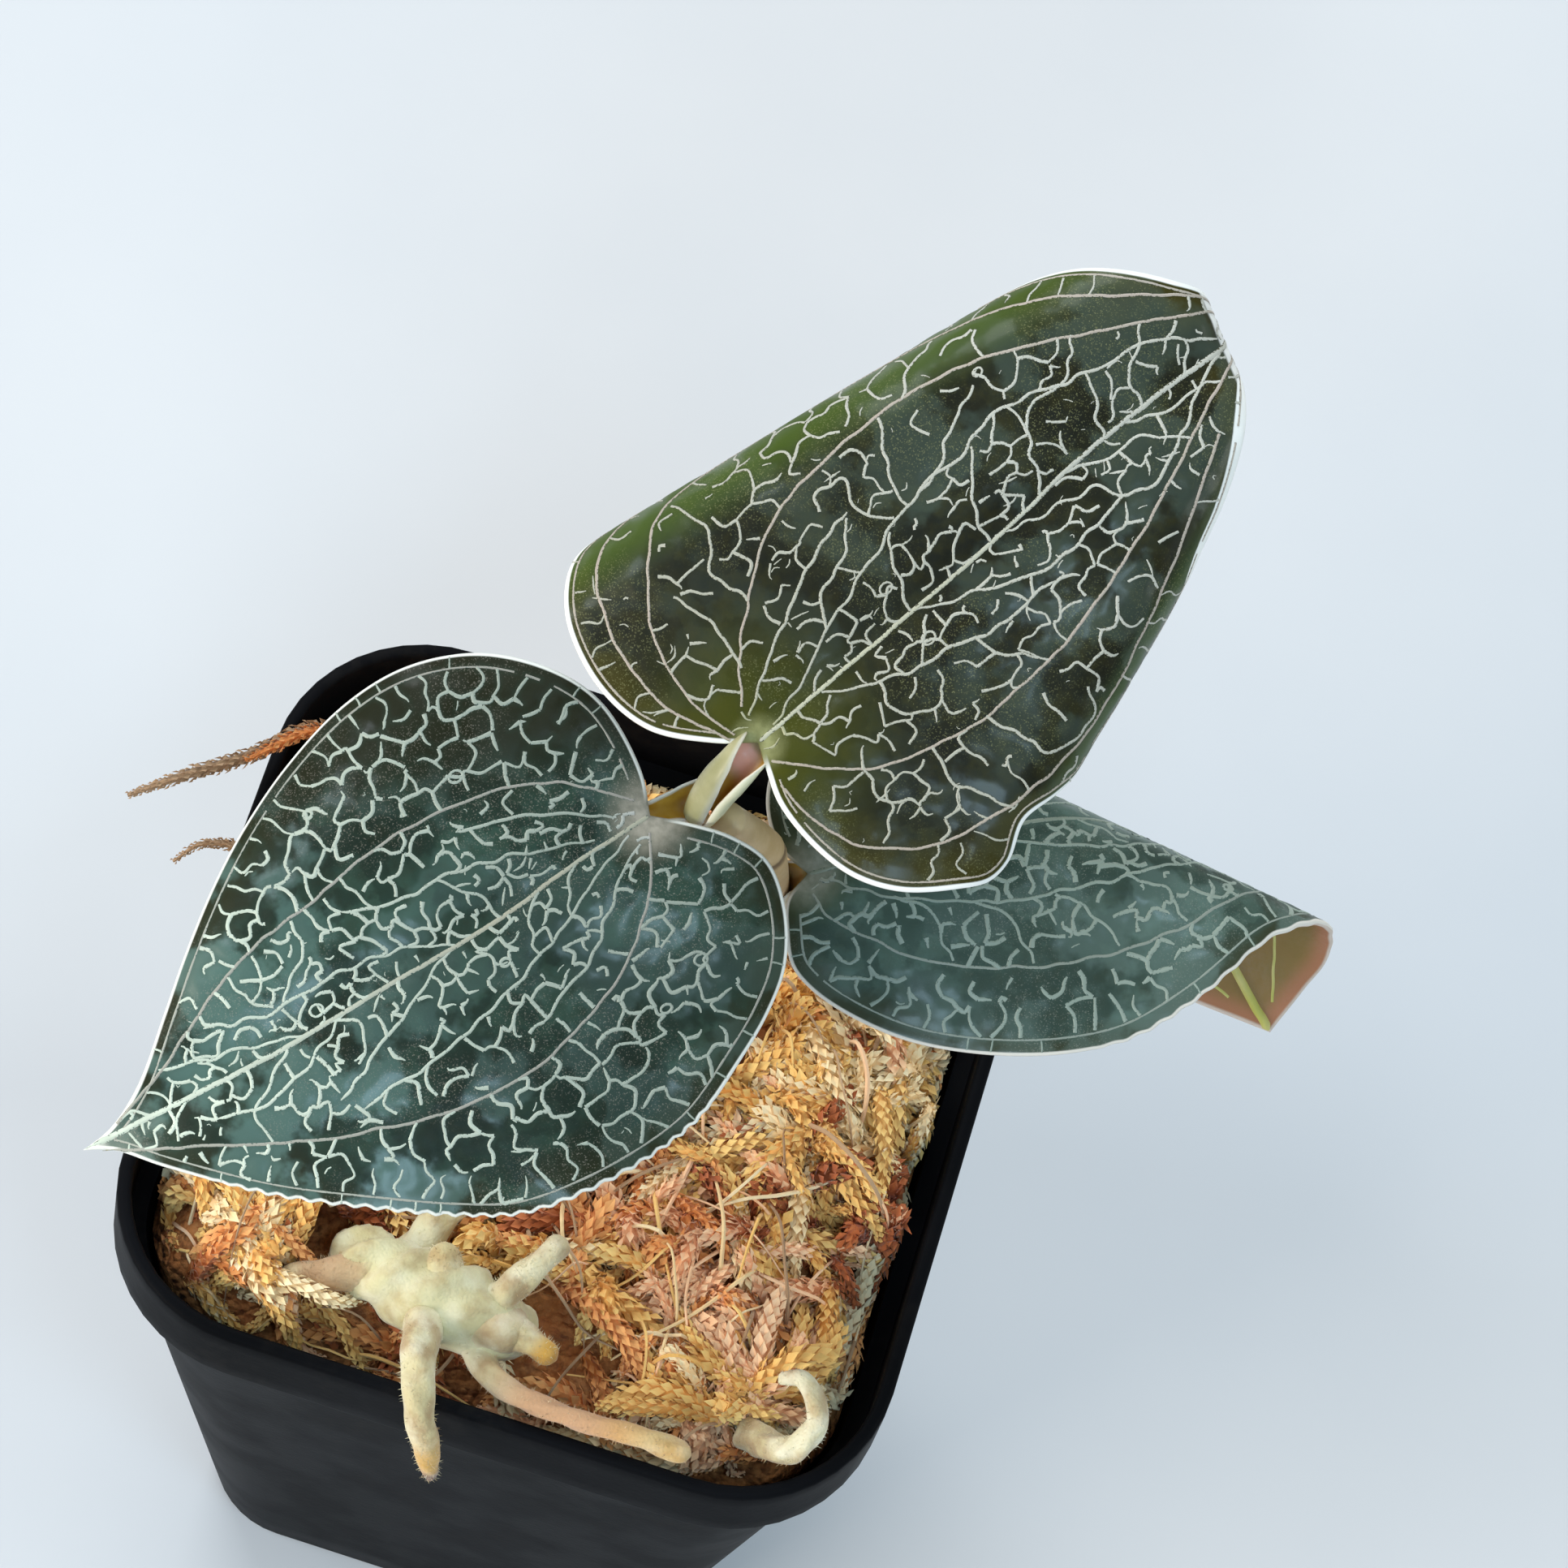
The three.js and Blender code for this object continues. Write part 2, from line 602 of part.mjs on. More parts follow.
const bedCutters = [potClear, stemClear, rhizomeClear];
for (const [name, tuft] of Object.entries(TUFTS)) {
  const cutters = [potClear, stemClear, rhizomeClear];
  place(name, largestBody(cutBy(tuftSolid(tuft), cutters)), FINISH.paleMoss);
  bedCutters.push(tuftSolid(tuft, CLEARANCE));
}
place('moss_bed', mossBed(bedCutters), FINISH.moss);

const petioleClear = petioleSolid(LEAVES.leaf_2, CLEARANCE);
for (const [name, leaf] of Object.entries(LEAVES)) {
  const cutters = name === 'leaf_1' ? [stemClear, petioleClear] : [stemClear];
  place(name, largestBody(cutBy(bladeSolid(leaf).add(petioleSolid(leaf)), cutters)), FINISH.leaf);
}

export default orchid;
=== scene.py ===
# %% [markdown]
# # A young jewel orchid in its nursery pot
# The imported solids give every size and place. They are loaded first and never moved. Each
# cell then dresses one piece: it explains what the piece is on the living plant, how it could
# be made in Blender, and why this way was chosen.

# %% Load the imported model
import math

import bpy
import numpy as np
from mathutils import Matrix, Vector
from mathutils.bvhtree import BVHTree
from mathutils.geometry import delaunay_2d_cdt
from mathutils.kdtree import KDTree


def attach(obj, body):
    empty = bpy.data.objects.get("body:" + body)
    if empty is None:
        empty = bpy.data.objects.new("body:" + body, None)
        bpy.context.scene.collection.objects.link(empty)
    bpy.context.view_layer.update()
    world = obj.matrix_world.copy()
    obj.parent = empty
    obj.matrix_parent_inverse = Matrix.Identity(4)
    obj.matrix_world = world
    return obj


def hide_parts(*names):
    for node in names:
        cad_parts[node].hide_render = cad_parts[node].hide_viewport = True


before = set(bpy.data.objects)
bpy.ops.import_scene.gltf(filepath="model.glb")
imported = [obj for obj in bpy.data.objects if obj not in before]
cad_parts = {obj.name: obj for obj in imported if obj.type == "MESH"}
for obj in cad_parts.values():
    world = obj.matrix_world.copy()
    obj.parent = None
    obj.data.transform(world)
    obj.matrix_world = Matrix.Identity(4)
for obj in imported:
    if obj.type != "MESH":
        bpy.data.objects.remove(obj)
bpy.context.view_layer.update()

MM = 0.001
RIM = 75.0  # height of the pot's rim, in millimetres
print("nodes:", sorted(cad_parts))

# %% [markdown]
# ## The camera
# The plant is seen from high in front with a long lens, so the camera comes first: everything
# after it is judged through it. A target, a height angle and a roll are easier to read and to
# correct than a rotation matrix, so the matrix is worked out from them. Depth of field stays
# off, because the views from other sides share this camera.

# %% Camera
TARGET = Vector((0.0088, 0.0291, 0.075))
HEIGHT_ANGLE = math.radians(63.7)
ROLL = math.radians(18)
DISTANCE = 0.471


def in_scene(name, data):
    """An object with this mesh, lamp or camera, linked to the scene."""
    made = bpy.data.objects.new(name, data)
    bpy.context.scene.collection.objects.link(made)
    return made


back = Vector((0, -math.cos(HEIGHT_ANGLE), math.sin(HEIGHT_ANGLE)))
level = Vector((1, 0, 0))
upright = back.cross(level)
right = level * math.cos(ROLL) + upright * math.sin(ROLL)
up = upright * math.cos(ROLL) - level * math.sin(ROLL)
camera_data = bpy.data.cameras.new("camera")
camera_data.sensor_width = 36
camera_data.lens = 130.4
camera_data.clip_start = 0.01
camera = in_scene("camera", camera_data)
turned = Matrix((right, up, back)).transposed().to_4x4()
camera.matrix_world = Matrix.Translation(TARGET + back * DISTANCE) @ turned
bpy.context.scene.camera = camera
print("camera at", [round(value, 3) for value in camera.matrix_world.translation])

# %% [markdown]
# ## Helpers for shader nodes
# A material is a small network. One helper adds a node with its settings, and another joins
# sockets, so each material below reads as a short list of steps.

# %% Node helpers
def add_node(tree, kind, inputs=None, **settings):
    """A node of this kind, with its settings and the values of its sockets."""
    made = tree.nodes.new(kind)
    for name, value in settings.items():
        setattr(made, name, value)
    for name, value in (inputs or {}).items():
        socket = made.inputs[name]
        if isinstance(value, bpy.types.NodeSocket):
            tree.links.new(value, socket)
        else:
            socket.default_value = value
    return made


def colour(red, green, blue):
    """A screen colour, 0 to 255, as the linear colour that a shader works in."""
    linear = []
    for share in (red / 255, green / 255, blue / 255):
        linear.append(share / 12.92 if share <= 0.04045 else ((share + 0.055) / 1.055) ** 2.4)
    return (*linear, 1.0)


def mixed(tree, share, first, second):
    """The colour between first and second, at a share from 0 to 1."""
    sockets = {0: share, 6: first, 7: second}
    return add_node(tree, "ShaderNodeMix", sockets, data_type="RGBA").outputs[2]


def between(tree, value, low, high, to_low=0.0, to_high=1.0):
    """How far a value has gone from low to high, smoothly, as a number from to_low to to_high."""
    settings = {"Value": value, "From Min": low, "From Max": high, "To Min": to_low, "To Max": to_high}
    return add_node(tree, "ShaderNodeMapRange", settings, interpolation_type="SMOOTHSTEP").outputs[0]


def attribute(tree, name):
    """A number that the mesh carries at every point."""
    return add_node(tree, "ShaderNodeAttribute", attribute_name=name).outputs["Fac"]


def calculated(tree, operation, first, second):
    """What a Math node makes of two numbers."""
    return add_node(tree, "ShaderNodeMath", {0: first, 1: second}, operation=operation).outputs[0]


def multiplied(tree, first, second):
    """The product of two numbers."""
    return calculated(tree, "MULTIPLY", first, second)


def new_finish(name, **constants):
    """A material with one Principled shader, whose constant values sit on its own sockets."""
    finish = bpy.data.materials.new(name)
    finish.use_nodes = True
    shader = finish.node_tree.nodes["Principled BSDF"]
    for socket, value in constants.items():
        shader.inputs[socket.replace("_", " ")].default_value = value
    return finish, finish.node_tree, shader


print("middle grey as a linear colour:", [round(value, 3) for value in colour(128, 128, 128)])

# %% [markdown]
# ## Two effects that many finishes share
# Nothing that grows has an even colour, and nothing moulded is perfectly smooth. *Mottle* mixes
# two colours in soft patches, and *Grain* is a fine, uneven height for a Bump node. Each is
# built once as a node group with named sockets, and every finish then places it with its own
# sizes. The groups hand out only colours and numbers, so the shader stays in the material.

# %% Shared node groups
def new_group(name, inputs, outputs):
    """An empty node group with named sockets, and its two end nodes."""
    group = bpy.data.node_groups.new(name, "ShaderNodeTree")
    for socket, kind, value in inputs:
        made = group.interface.new_socket(socket, in_out="INPUT", socket_type=kind)
        if value is not None:
            made.default_value = value
    for socket, kind in outputs:
        group.interface.new_socket(socket, in_out="OUTPUT", socket_type=kind)
    return group, group.nodes.new("NodeGroupInput"), group.nodes.new("NodeGroupOutput")


mottle, entry, leave = new_group(
    "Mottle",
    [("Size in mm", "NodeSocketFloat", 4.0), ("Softness", "NodeSocketFloat", 0.15),
     ("First", "NodeSocketColor", None), ("Second", "NodeSocketColor", None)],
    [("Color", "NodeSocketColor"), ("Mask", "NodeSocketFloat")],
)
place = add_node(mottle, "ShaderNodeTexCoord").outputs["Object"]
scale = calculated(mottle, "DIVIDE", 1 / MM, entry.outputs["Size in mm"])
noise = add_node(mottle, "ShaderNodeTexNoise", {"Vector": place, "Scale": scale, "Detail": 5.0})
low = calculated(mottle, "SUBTRACT", 0.5, entry.outputs["Softness"])
high = calculated(mottle, "ADD", 0.5, entry.outputs["Softness"])
mask = between(mottle, noise.outputs["Fac"], low, high)
patchy = mixed(mottle, mask, entry.outputs["First"], entry.outputs["Second"])
mottle.links.new(patchy, leave.inputs["Color"])
mottle.links.new(mask, leave.inputs["Mask"])

grain, entry, leave = new_group(
    "Grain",
    [("Size in mm", "NodeSocketFloat", 0.3), ("Pits", "NodeSocketFloat", 0.5)],
    [("Height", "NodeSocketFloat"), ("Specks", "NodeSocketFloat")],
)
place = add_node(grain, "ShaderNodeTexCoord").outputs["Object"]
scale = calculated(grain, "DIVIDE", 1 / MM, entry.outputs["Size in mm"])
noise = add_node(grain, "ShaderNodeTexNoise", {"Vector": place, "Scale": scale, "Detail": 3.0})
cells = add_node(grain, "ShaderNodeTexVoronoi", {"Vector": place, "Scale": scale})
pits = multiplied(grain, cells.outputs["Distance"], entry.outputs["Pits"])
height = calculated(grain, "SUBTRACT", noise.outputs["Fac"], pits)
grain.links.new(height, leave.inputs["Height"])
specks = add_node(grain, "ShaderNodeSeparateColor", {"Color": cells.outputs["Color"]})
grain.links.new(specks.outputs["Red"], leave.inputs["Specks"])


def place_mottle(tree, size, first, second, softness=0.15):
    """A Mottle group in a material: its colour and its mask."""
    sockets = {"Size in mm": size, "Softness": softness, "First": first, "Second": second}
    made = add_node(tree, "ShaderNodeGroup", sockets, node_tree=mottle)
    return made.outputs["Color"], made.outputs["Mask"]


def place_grain(tree, size, pits=0.5):
    """A Grain group in a material: its height and its specks."""
    made = add_node(tree, "ShaderNodeGroup", {"Size in mm": size, "Pits": pits}, node_tree=grain)
    return made.outputs["Height"], made.outputs["Specks"]


def add_bump(tree, shader, height, depth, strength):
    """Lets a height push the shading of a surface in and out, by a depth in millimetres."""
    sockets = {"Height": height, "Distance": depth * MM, "Strength": strength}
    bump = add_node(tree, "ShaderNodeBump", sockets)
    tree.links.new(bump.outputs["Normal"], shader.inputs["Normal"])


def add_skin(tree, shader, body, size, pits, rough, depth, strength):
    """Gives a surface its colour, a Grain group's height, and the specks as its roughness."""
    tree.links.new(body, shader.inputs["Base Color"])
    height, specks = place_grain(tree, size, pits)
    tree.links.new(between(tree, specks, 0.0, 1.0, *rough), shader.inputs["Roughness"])
    add_bump(tree, shader, height, depth, strength)


print("node groups:", [group.name for group in bpy.data.node_groups])

# %% [markdown]
# ## Helpers for meshes
# Stems, roots, veins and moss all follow curves. A Catmull-Rom curve goes through every point
# that it is given, which makes the points easy to choose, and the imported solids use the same
# curve, so both agree. Positions are in millimetres with z counted from the pot's rim, and one
# helper turns them into the frame's metres.

# %% Curves
def from_rim(points):
    """Millimetres with z from the rim, as metres in the frame."""
    return (np.asarray(points, float) + [0, 0, RIM]) * MM


def gaps_along(path):
    """The distances between neighbouring points of a path."""
    return np.linalg.norm(np.diff(path, axis=0), axis=1)


def distance_along(path):
    """How far along a path each of its points lies."""
    return np.concatenate([[0], np.cumsum(gaps_along(path))])


def unit(rows):
    """Each row as a vector of length 1."""
    return rows / (np.linalg.norm(rows, axis=1)[:, None] + 1e-12)


def spread_over(share, values):
    """Evenly spaced values, read at shares from 0 to 1 of their row."""
    return np.interp(share, np.linspace(0, 1, len(values)), values)


def read_at(wanted, known, rows):
    """Rows that belong to known places, read at the wanted ones."""
    return np.stack([np.interp(wanted, known, column) for column in rows.T], axis=1)


def evenly(path, spacing):
    """The same path with points at even distances."""
    along = distance_along(path)
    count = max(2, round(along[-1] / spacing) + 1)
    return read_at(np.linspace(0, along[-1], count), along, path)


def smooth_curve(points, spacing):
    """A centripetal Catmull-Rom curve through the points, with points at even distances."""
    points = np.asarray(points, float)
    knots = np.vstack([2 * points[:1] - points[1:2], points, 2 * points[-1:] - points[-2:-1]])
    gaps = gaps_along(knots) ** 0.5
    share = np.linspace(0, 1, 16, endpoint=False)[:, None]
    pieces = []
    for i in range(len(points) - 1):
        a, b, c, d = knots[i:i + 4]
        before, here, after = gaps[i:i + 3]
        leaving = ((b - a) / before - (c - a) / (before + here) + (c - b) / here) * here
        arriving = ((c - b) / here - (d - b) / (here + after) + (d - c) / after) * here
        square = -3 * b + 3 * c - 2 * leaving - arriving
        cube = 2 * b - 2 * c + leaving + arriving
        pieces.append(b + leaving * share + square * share ** 2 + cube * share ** 3)
    return evenly(np.vstack(pieces + [points[-1:]]), spacing)


arch = smooth_curve([(0, 0, 0), (5, 0, 3), (10, 0, 0)], 0.5)
print("an arch over 10 mm:", round(distance_along(arch)[-1], 2), "mm long")


# %% Tubes and pieces
def path_frames(path):
    """The direction of a path at each point, and two directions across it that don't twist."""
    forward = unit(np.gradient(path, axis=0))
    side = np.array([0.0, 0.0, 1.0]) if abs(forward[0][2]) < 0.7 else np.array([1.0, 0.0, 0.0])
    sides = []
    for direction in forward:
        side = side - direction * (side @ direction)
        side = side / (np.linalg.norm(side) + 1e-12)
        sides.append(side)
    sides = np.array(sides)
    return forward, sides, np.cross(forward, sides)


def skin_faces(rows, count):
    """Quads between neighbouring rings of points, each ring with count points."""
    faces = []
    for row in range(rows - 1):
        for i in range(count):
            a = row * count + i
            b = row * count + (i + 1) % count
            faces.append((a, b, b + count, a + count))
    return faces


def tube(path, radii, sides):
    """Points and faces of a closed tube. radii has a value for each point, or for each corner."""
    _, across, over = path_frames(path)
    turn = np.linspace(0, 2 * np.pi, sides, endpoint=False)
    ring = across[:, None] * np.cos(turn)[None, :, None] + over[:, None] * np.sin(turn)[None, :, None]
    radii = np.asarray(radii, float)
    if radii.ndim == 1:
        radii = np.repeat(radii[:, None], sides, axis=1)
    body = (path[:, None] + ring * radii[:, :, None]).reshape(-1, 3)
    points = np.vstack([body, path[:1], path[-1:]])
    faces = skin_faces(len(path), sides)
    first = len(body)
    top = first - sides
    for i in range(sides):
        nxt = (i + 1) % sides
        faces.append((first, nxt, i))
        faces.append((first + 1, top + i, top + nxt))
    return points, faces


class Bundle:
    """Collects many small meshes, and the numbers their points carry, into one."""

    def __init__(self):
        self.points = []
        self.faces = []
        self.numbers = {}
        self.count = 0

    def add(self, points, faces, **numbers):
        """Adds a mesh. Each number is one value, or one for every point."""
        self.points.append(points)
        if isinstance(faces, np.ndarray):
            faces = faces.tolist()
        self.faces.extend([index + self.count for index in face] for face in faces)
        for name, value in numbers.items():
            self.numbers.setdefault(name, []).append(np.broadcast_to(value, (len(points),)))
        self.count += len(points)

    def finish(self, name, materials, slot, replaced=(), face_material=None, smooth=True):
        """Turns what was collected into one piece that rides on the plant."""
        mesh = bpy.data.meshes.new(name)
        mesh.from_pydata(from_rim(np.vstack(self.points)).tolist(), [], self.faces)
        for number, values in self.numbers.items():
            made = mesh.attributes.new(number, "FLOAT", "POINT")
            made.data.foreach_set("value", np.concatenate(values).astype(np.float32))
        for material in materials:
            mesh.materials.append(material)
        if face_material is not None:
            mesh.polygons.foreach_set("material_index", np.asarray(face_material, np.int32))
        mesh.polygons.foreach_set("use_smooth", np.full(len(mesh.polygons), smooth))
        mesh.update()
        piece = in_scene(name, mesh)
        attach(piece, "root")
        for node in replaced:
            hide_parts(node)
        triangles = sum(len(polygon.vertices) - 2 for polygon in mesh.polygons)
        print(f"{name}: {triangles} triangles")

# %% [markdown]
# ## Floor and light
# The plant stands on a plain pale floor under soft light, as in a light tent. A wide lamp above
# and behind gives the leaves their cool satin patches, weaker ones in front and at the sides
# lift the moss and the pot, and the pale world fills the shadows.

# %% Floor and light
floor_mesh = bpy.data.meshes.new("floor")
floor_mesh.from_pydata([(-4, -4, 0), (4, -4, 0), (4, 4, 0), (-4, 4, 0)], [], [(0, 1, 2, 3)])
floor = in_scene("floor", floor_mesh)
floor_finish, tree, shader = new_finish("floor_paper", Roughness=0.85)
paper, _ = place_mottle(tree, 60.0, colour(214, 217, 220), colour(208, 212, 216), 0.3)
tree.links.new(paper, shader.inputs["Base Color"])
floor_mesh.materials.append(floor_finish)

world = bpy.data.worlds.new("pale_room")
bpy.context.scene.world = world
world.use_nodes = True
sky = world.node_tree.nodes["Background"]
sky.inputs["Color"].default_value = colour(212, 215, 219)
sky.inputs["Strength"].default_value = 0.42


def add_lamp(name, place, aim, size, power, tint):
    """A flat area lamp at a place, in metres, that shines on a point."""
    lamp_data = bpy.data.lights.new(name, "AREA")
    lamp_data.shape = "RECTANGLE"
    lamp_data.size, lamp_data.size_y = size
    lamp_data.energy = power
    lamp_data.color = tint
    lamp = in_scene(name, lamp_data)
    away = Vector(place) - Vector(aim)
    turned = away.to_track_quat("Z", "Y").to_matrix().to_4x4()
    lamp.matrix_world = Matrix.Translation(place) @ turned


add_lamp("back_window", (-0.35, 0.75, 0.85), (0, 0, 0.1), (0.9, 0.6), 8.0, (0.95, 0.98, 1.0))
add_lamp("left_window", (-0.66, -0.18, 0.86), (0, 0, 0.11), (0.3, 0.3), 2.6, (0.8, 0.9, 1.0))
add_lamp("front_window", (0.05, -0.68, 0.62), (0, 0, 0.11), (0.24, 0.14), 1.7, (0.55, 0.8, 1.0))
add_lamp("high_window", (0.22, -0.3, 1.0), (0.01, 0.02, 0.13), (0.18, 0.12), 1.2, (0.55, 0.8, 1.0))
add_lamp("right_window", (0.8, 0.12, 0.45), (0, 0, 0.1), (0.4, 0.4), 1.9, (0.95, 1.0, 0.96))
add_lamp("front_fill", (-0.7, -0.6, 0.35), (0, 0, 0.07), (0.5, 0.5), 6.8, (1.0, 0.88, 0.74))
bpy.context.scene.view_settings.view_transform = "Standard"

# %% [markdown]
# ## The pot
# A nursery pot is blown or pressed from thin black plastic: a tapered square with rounded
# corners, a wider collar round the top, and drain holes in its floor. One closed skin over a
# stack of rounded squares gives it: up the outside, over the lip, and down the inside. The
# holes are cut with a Boolean modifier, as a drill would. The plastic is satin, a little
# scuffed and dusty, so its gloss is mottled and its surface faintly pebbled.

# %% Pot shape
POT_HEIGHT, POT_HALF, FOOT_HALF, WALL = 75.0, 32.0, 22.0, 1.2
COLLAR, STEP, LIP, LIP_STEPS = 8.0, 1.4, 0.5, 4
RIM_CORNER, FOOT_CORNER, CORNER_STEPS = 13.0, 8.0, 10
DRAIN_RADIUS, DRAIN_OFFSET, FLOOR_THICKNESS = 2.6, 13.0, 2.0
FLOOR_TOP = -POT_HEIGHT + FLOOR_THICKNESS


def wall_at(z):
    """Half width and corner radius of the wall's outside, z below the rim."""
    share = (min(z, -COLLAR) + POT_HEIGHT) / (POT_HEIGHT - COLLAR)
    half = FOOT_HALF + (POT_HALF - STEP - FOOT_HALF) * share
    return half, FOOT_CORNER + (RIM_CORNER - STEP - FOOT_CORNER) * share


def pot_ring(z, inset):
    """One rounded square of the pot, set in from the wall's outside."""
    half, corner = wall_at(z)
    corner -= inset
    straight = half - inset - corner
    ring = []
    for quarter in range(4):
        turn = np.radians(90 * quarter + np.linspace(0, 90, CORNER_STEPS + 1))
        middle = math.radians(45 + 90 * quarter)
        x = np.sign(math.cos(middle)) * straight + corner * np.cos(turn)
        y = np.sign(math.sin(middle)) * straight + corner * np.sin(turn)
        ring.append(np.stack([x, y, np.full(len(turn), float(z))], axis=1))
    return np.vstack(ring)


def ring_skin(rings):
    """Faces of a closed skin over equal rings, with both ends filled."""
    count = len(rings[0])
    faces = skin_faces(len(rings), count)
    faces.append(tuple(reversed(range(count))))
    faces.append(tuple(range((len(rings) - 1) * count, len(rings) * count)))
    return np.vstack(rings), faces


def rounded(z, inset, z_turn, inset_turn):
    """Heights and insets of a quarter round, leaving (z, inset) along z."""
    return [(z + (z_turn - z) * math.sin(angle), inset + (inset_turn - inset) * (1 - math.cos(angle)))
            for angle in np.linspace(0, math.pi / 2, LIP_STEPS)]


profile = [(-POT_HEIGHT, 0.5), (-POT_HEIGHT + 0.15, 0.2), (-POT_HEIGHT + 0.6, 0.0)]
profile += [(z, 0.0) for z in np.linspace(-70, -COLLAR - 1.0, 8)]
profile += [(-COLLAR - 0.45, -0.05), (-COLLAR - 0.25, -0.25), (-COLLAR - 0.15, 0.3 - STEP)]
profile += [(-COLLAR, 0.08 - STEP), (-COLLAR + 0.3, -STEP), (-6.0, -STEP), (-4.0, -STEP), (-2.0, -STEP)]
profile += rounded(-LIP, -STEP, 0.0, LIP - STEP)
profile += rounded(-LIP, WALL - STEP, 0.0, WALL - STEP - 0.35)[::-1]
profile += [(-4.0, WALL - STEP), (-COLLAR + 0.6, WALL - STEP), (-COLLAR, WALL)]
profile += [(z, WALL) for z in np.linspace(-12, FLOOR_TOP + 0.6, 6)]
profile += [(FLOOR_TOP, WALL + 0.6)]
pot_points, pot_faces = ring_skin([pot_ring(z, inset) for z, inset in profile])

drill_bits = Bundle()
for x in (-DRAIN_OFFSET, DRAIN_OFFSET):
    for y in (-DRAIN_OFFSET, DRAIN_OFFSET):
        bit_path = np.array([[x, y, -POT_HEIGHT - 1], [x, y, FLOOR_TOP + 1]])
        drill_bits.add(*tube(bit_path, np.full(2, DRAIN_RADIUS), 32))
print("pot rings:", len(profile))

# %% Pot plastic
SATIN = dict(Roughness=0.4, IOR=1.3, Specular_IOR_Level=0.035)
pot_finish, tree, shader = new_finish("pot_plastic_satin", **SATIN)
black, _ = place_mottle(tree, 22.0, colour(12, 13, 15), colour(20, 21, 24), 0.25)
fine_dust, _ = place_mottle(tree, 1.3, colour(52, 50, 46), colour(20, 20, 22), 0.1)
_, smear = place_mottle(tree, 9.0, black, black, 0.2)
dusty = between(tree, smear, 0.55, 1.0, 0.0, 0.12)
tree.links.new(mixed(tree, dusty, black, fine_dust), shader.inputs["Base Color"])
tree.links.new(between(tree, smear, 0.0, 1.0, 0.4, 0.47), shader.inputs["Roughness"])
pebble, _ = place_grain(tree, 0.5, 0.4)
add_bump(tree, shader, pebble, 0.03, 0.35)


def mesh_object(name, points, faces):
    """A plain mesh object, for modifiers."""
    mesh = bpy.data.meshes.new(name)
    mesh.from_pydata(from_rim(points).tolist(), [], faces)
    return in_scene(name, mesh)


pot = mesh_object("pot_shell", pot_points, pot_faces)
drills = mesh_object("drain_drills", np.vstack(drill_bits.points), drill_bits.faces)
drilling = pot.modifiers.new("drain_holes", "BOOLEAN")
drilling.object = drills
drilling.operation = "DIFFERENCE"
drilling.solver = "EXACT"
bpy.context.view_layer.update()
drilled = bpy.data.meshes.new_from_object(pot.evaluated_get(bpy.context.evaluated_depsgraph_get()))
pot.modifiers.clear()
pot.data = drilled
bpy.data.objects.remove(drills)
drilled.materials.clear()
drilled.materials.append(pot_finish)
drilled.polygons.foreach_set("use_smooth", np.full(len(drilled.polygons), True))
drilled.set_sharp_from_angle(angle=math.radians(38))
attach(pot, "root")
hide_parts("pot")
print("pot_shell:", sum(len(face.vertices) - 2 for face in drilled.polygons), "triangles")

# %% [markdown]
# ## The shape of a leaf
# A leaf is easiest to draw flat, as it would lie pressed in a book: *u* runs along the midrib
# and *v* to its left, in millimetres. Outline and veins are drawn there. One rule then bends
# the flat leaf into its place: it domes it, sinks the midrib, waves the margin, and rolls the
# blade down past straight lines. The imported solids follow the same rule, so the fine mesh
# lies just where they do.

# %% Leaf outlines
LIGHT_TILT = math.radians(26.3)
LIGHT = np.array([0, -math.sin(LIGHT_TILT), math.cos(LIGHT_TILT)])
LEVEL = np.array([1.0, 0.0, 0.0])
UPHILL = np.cross(LIGHT, LEVEL)
BLADE = 0.5  # thickness of a leaf, in millimetres
DOME_REACH, KEEL_REACH, WAVE_LENGTH, DOME_MIDDLE = 20.0, 2.2, 15.0, 0.35

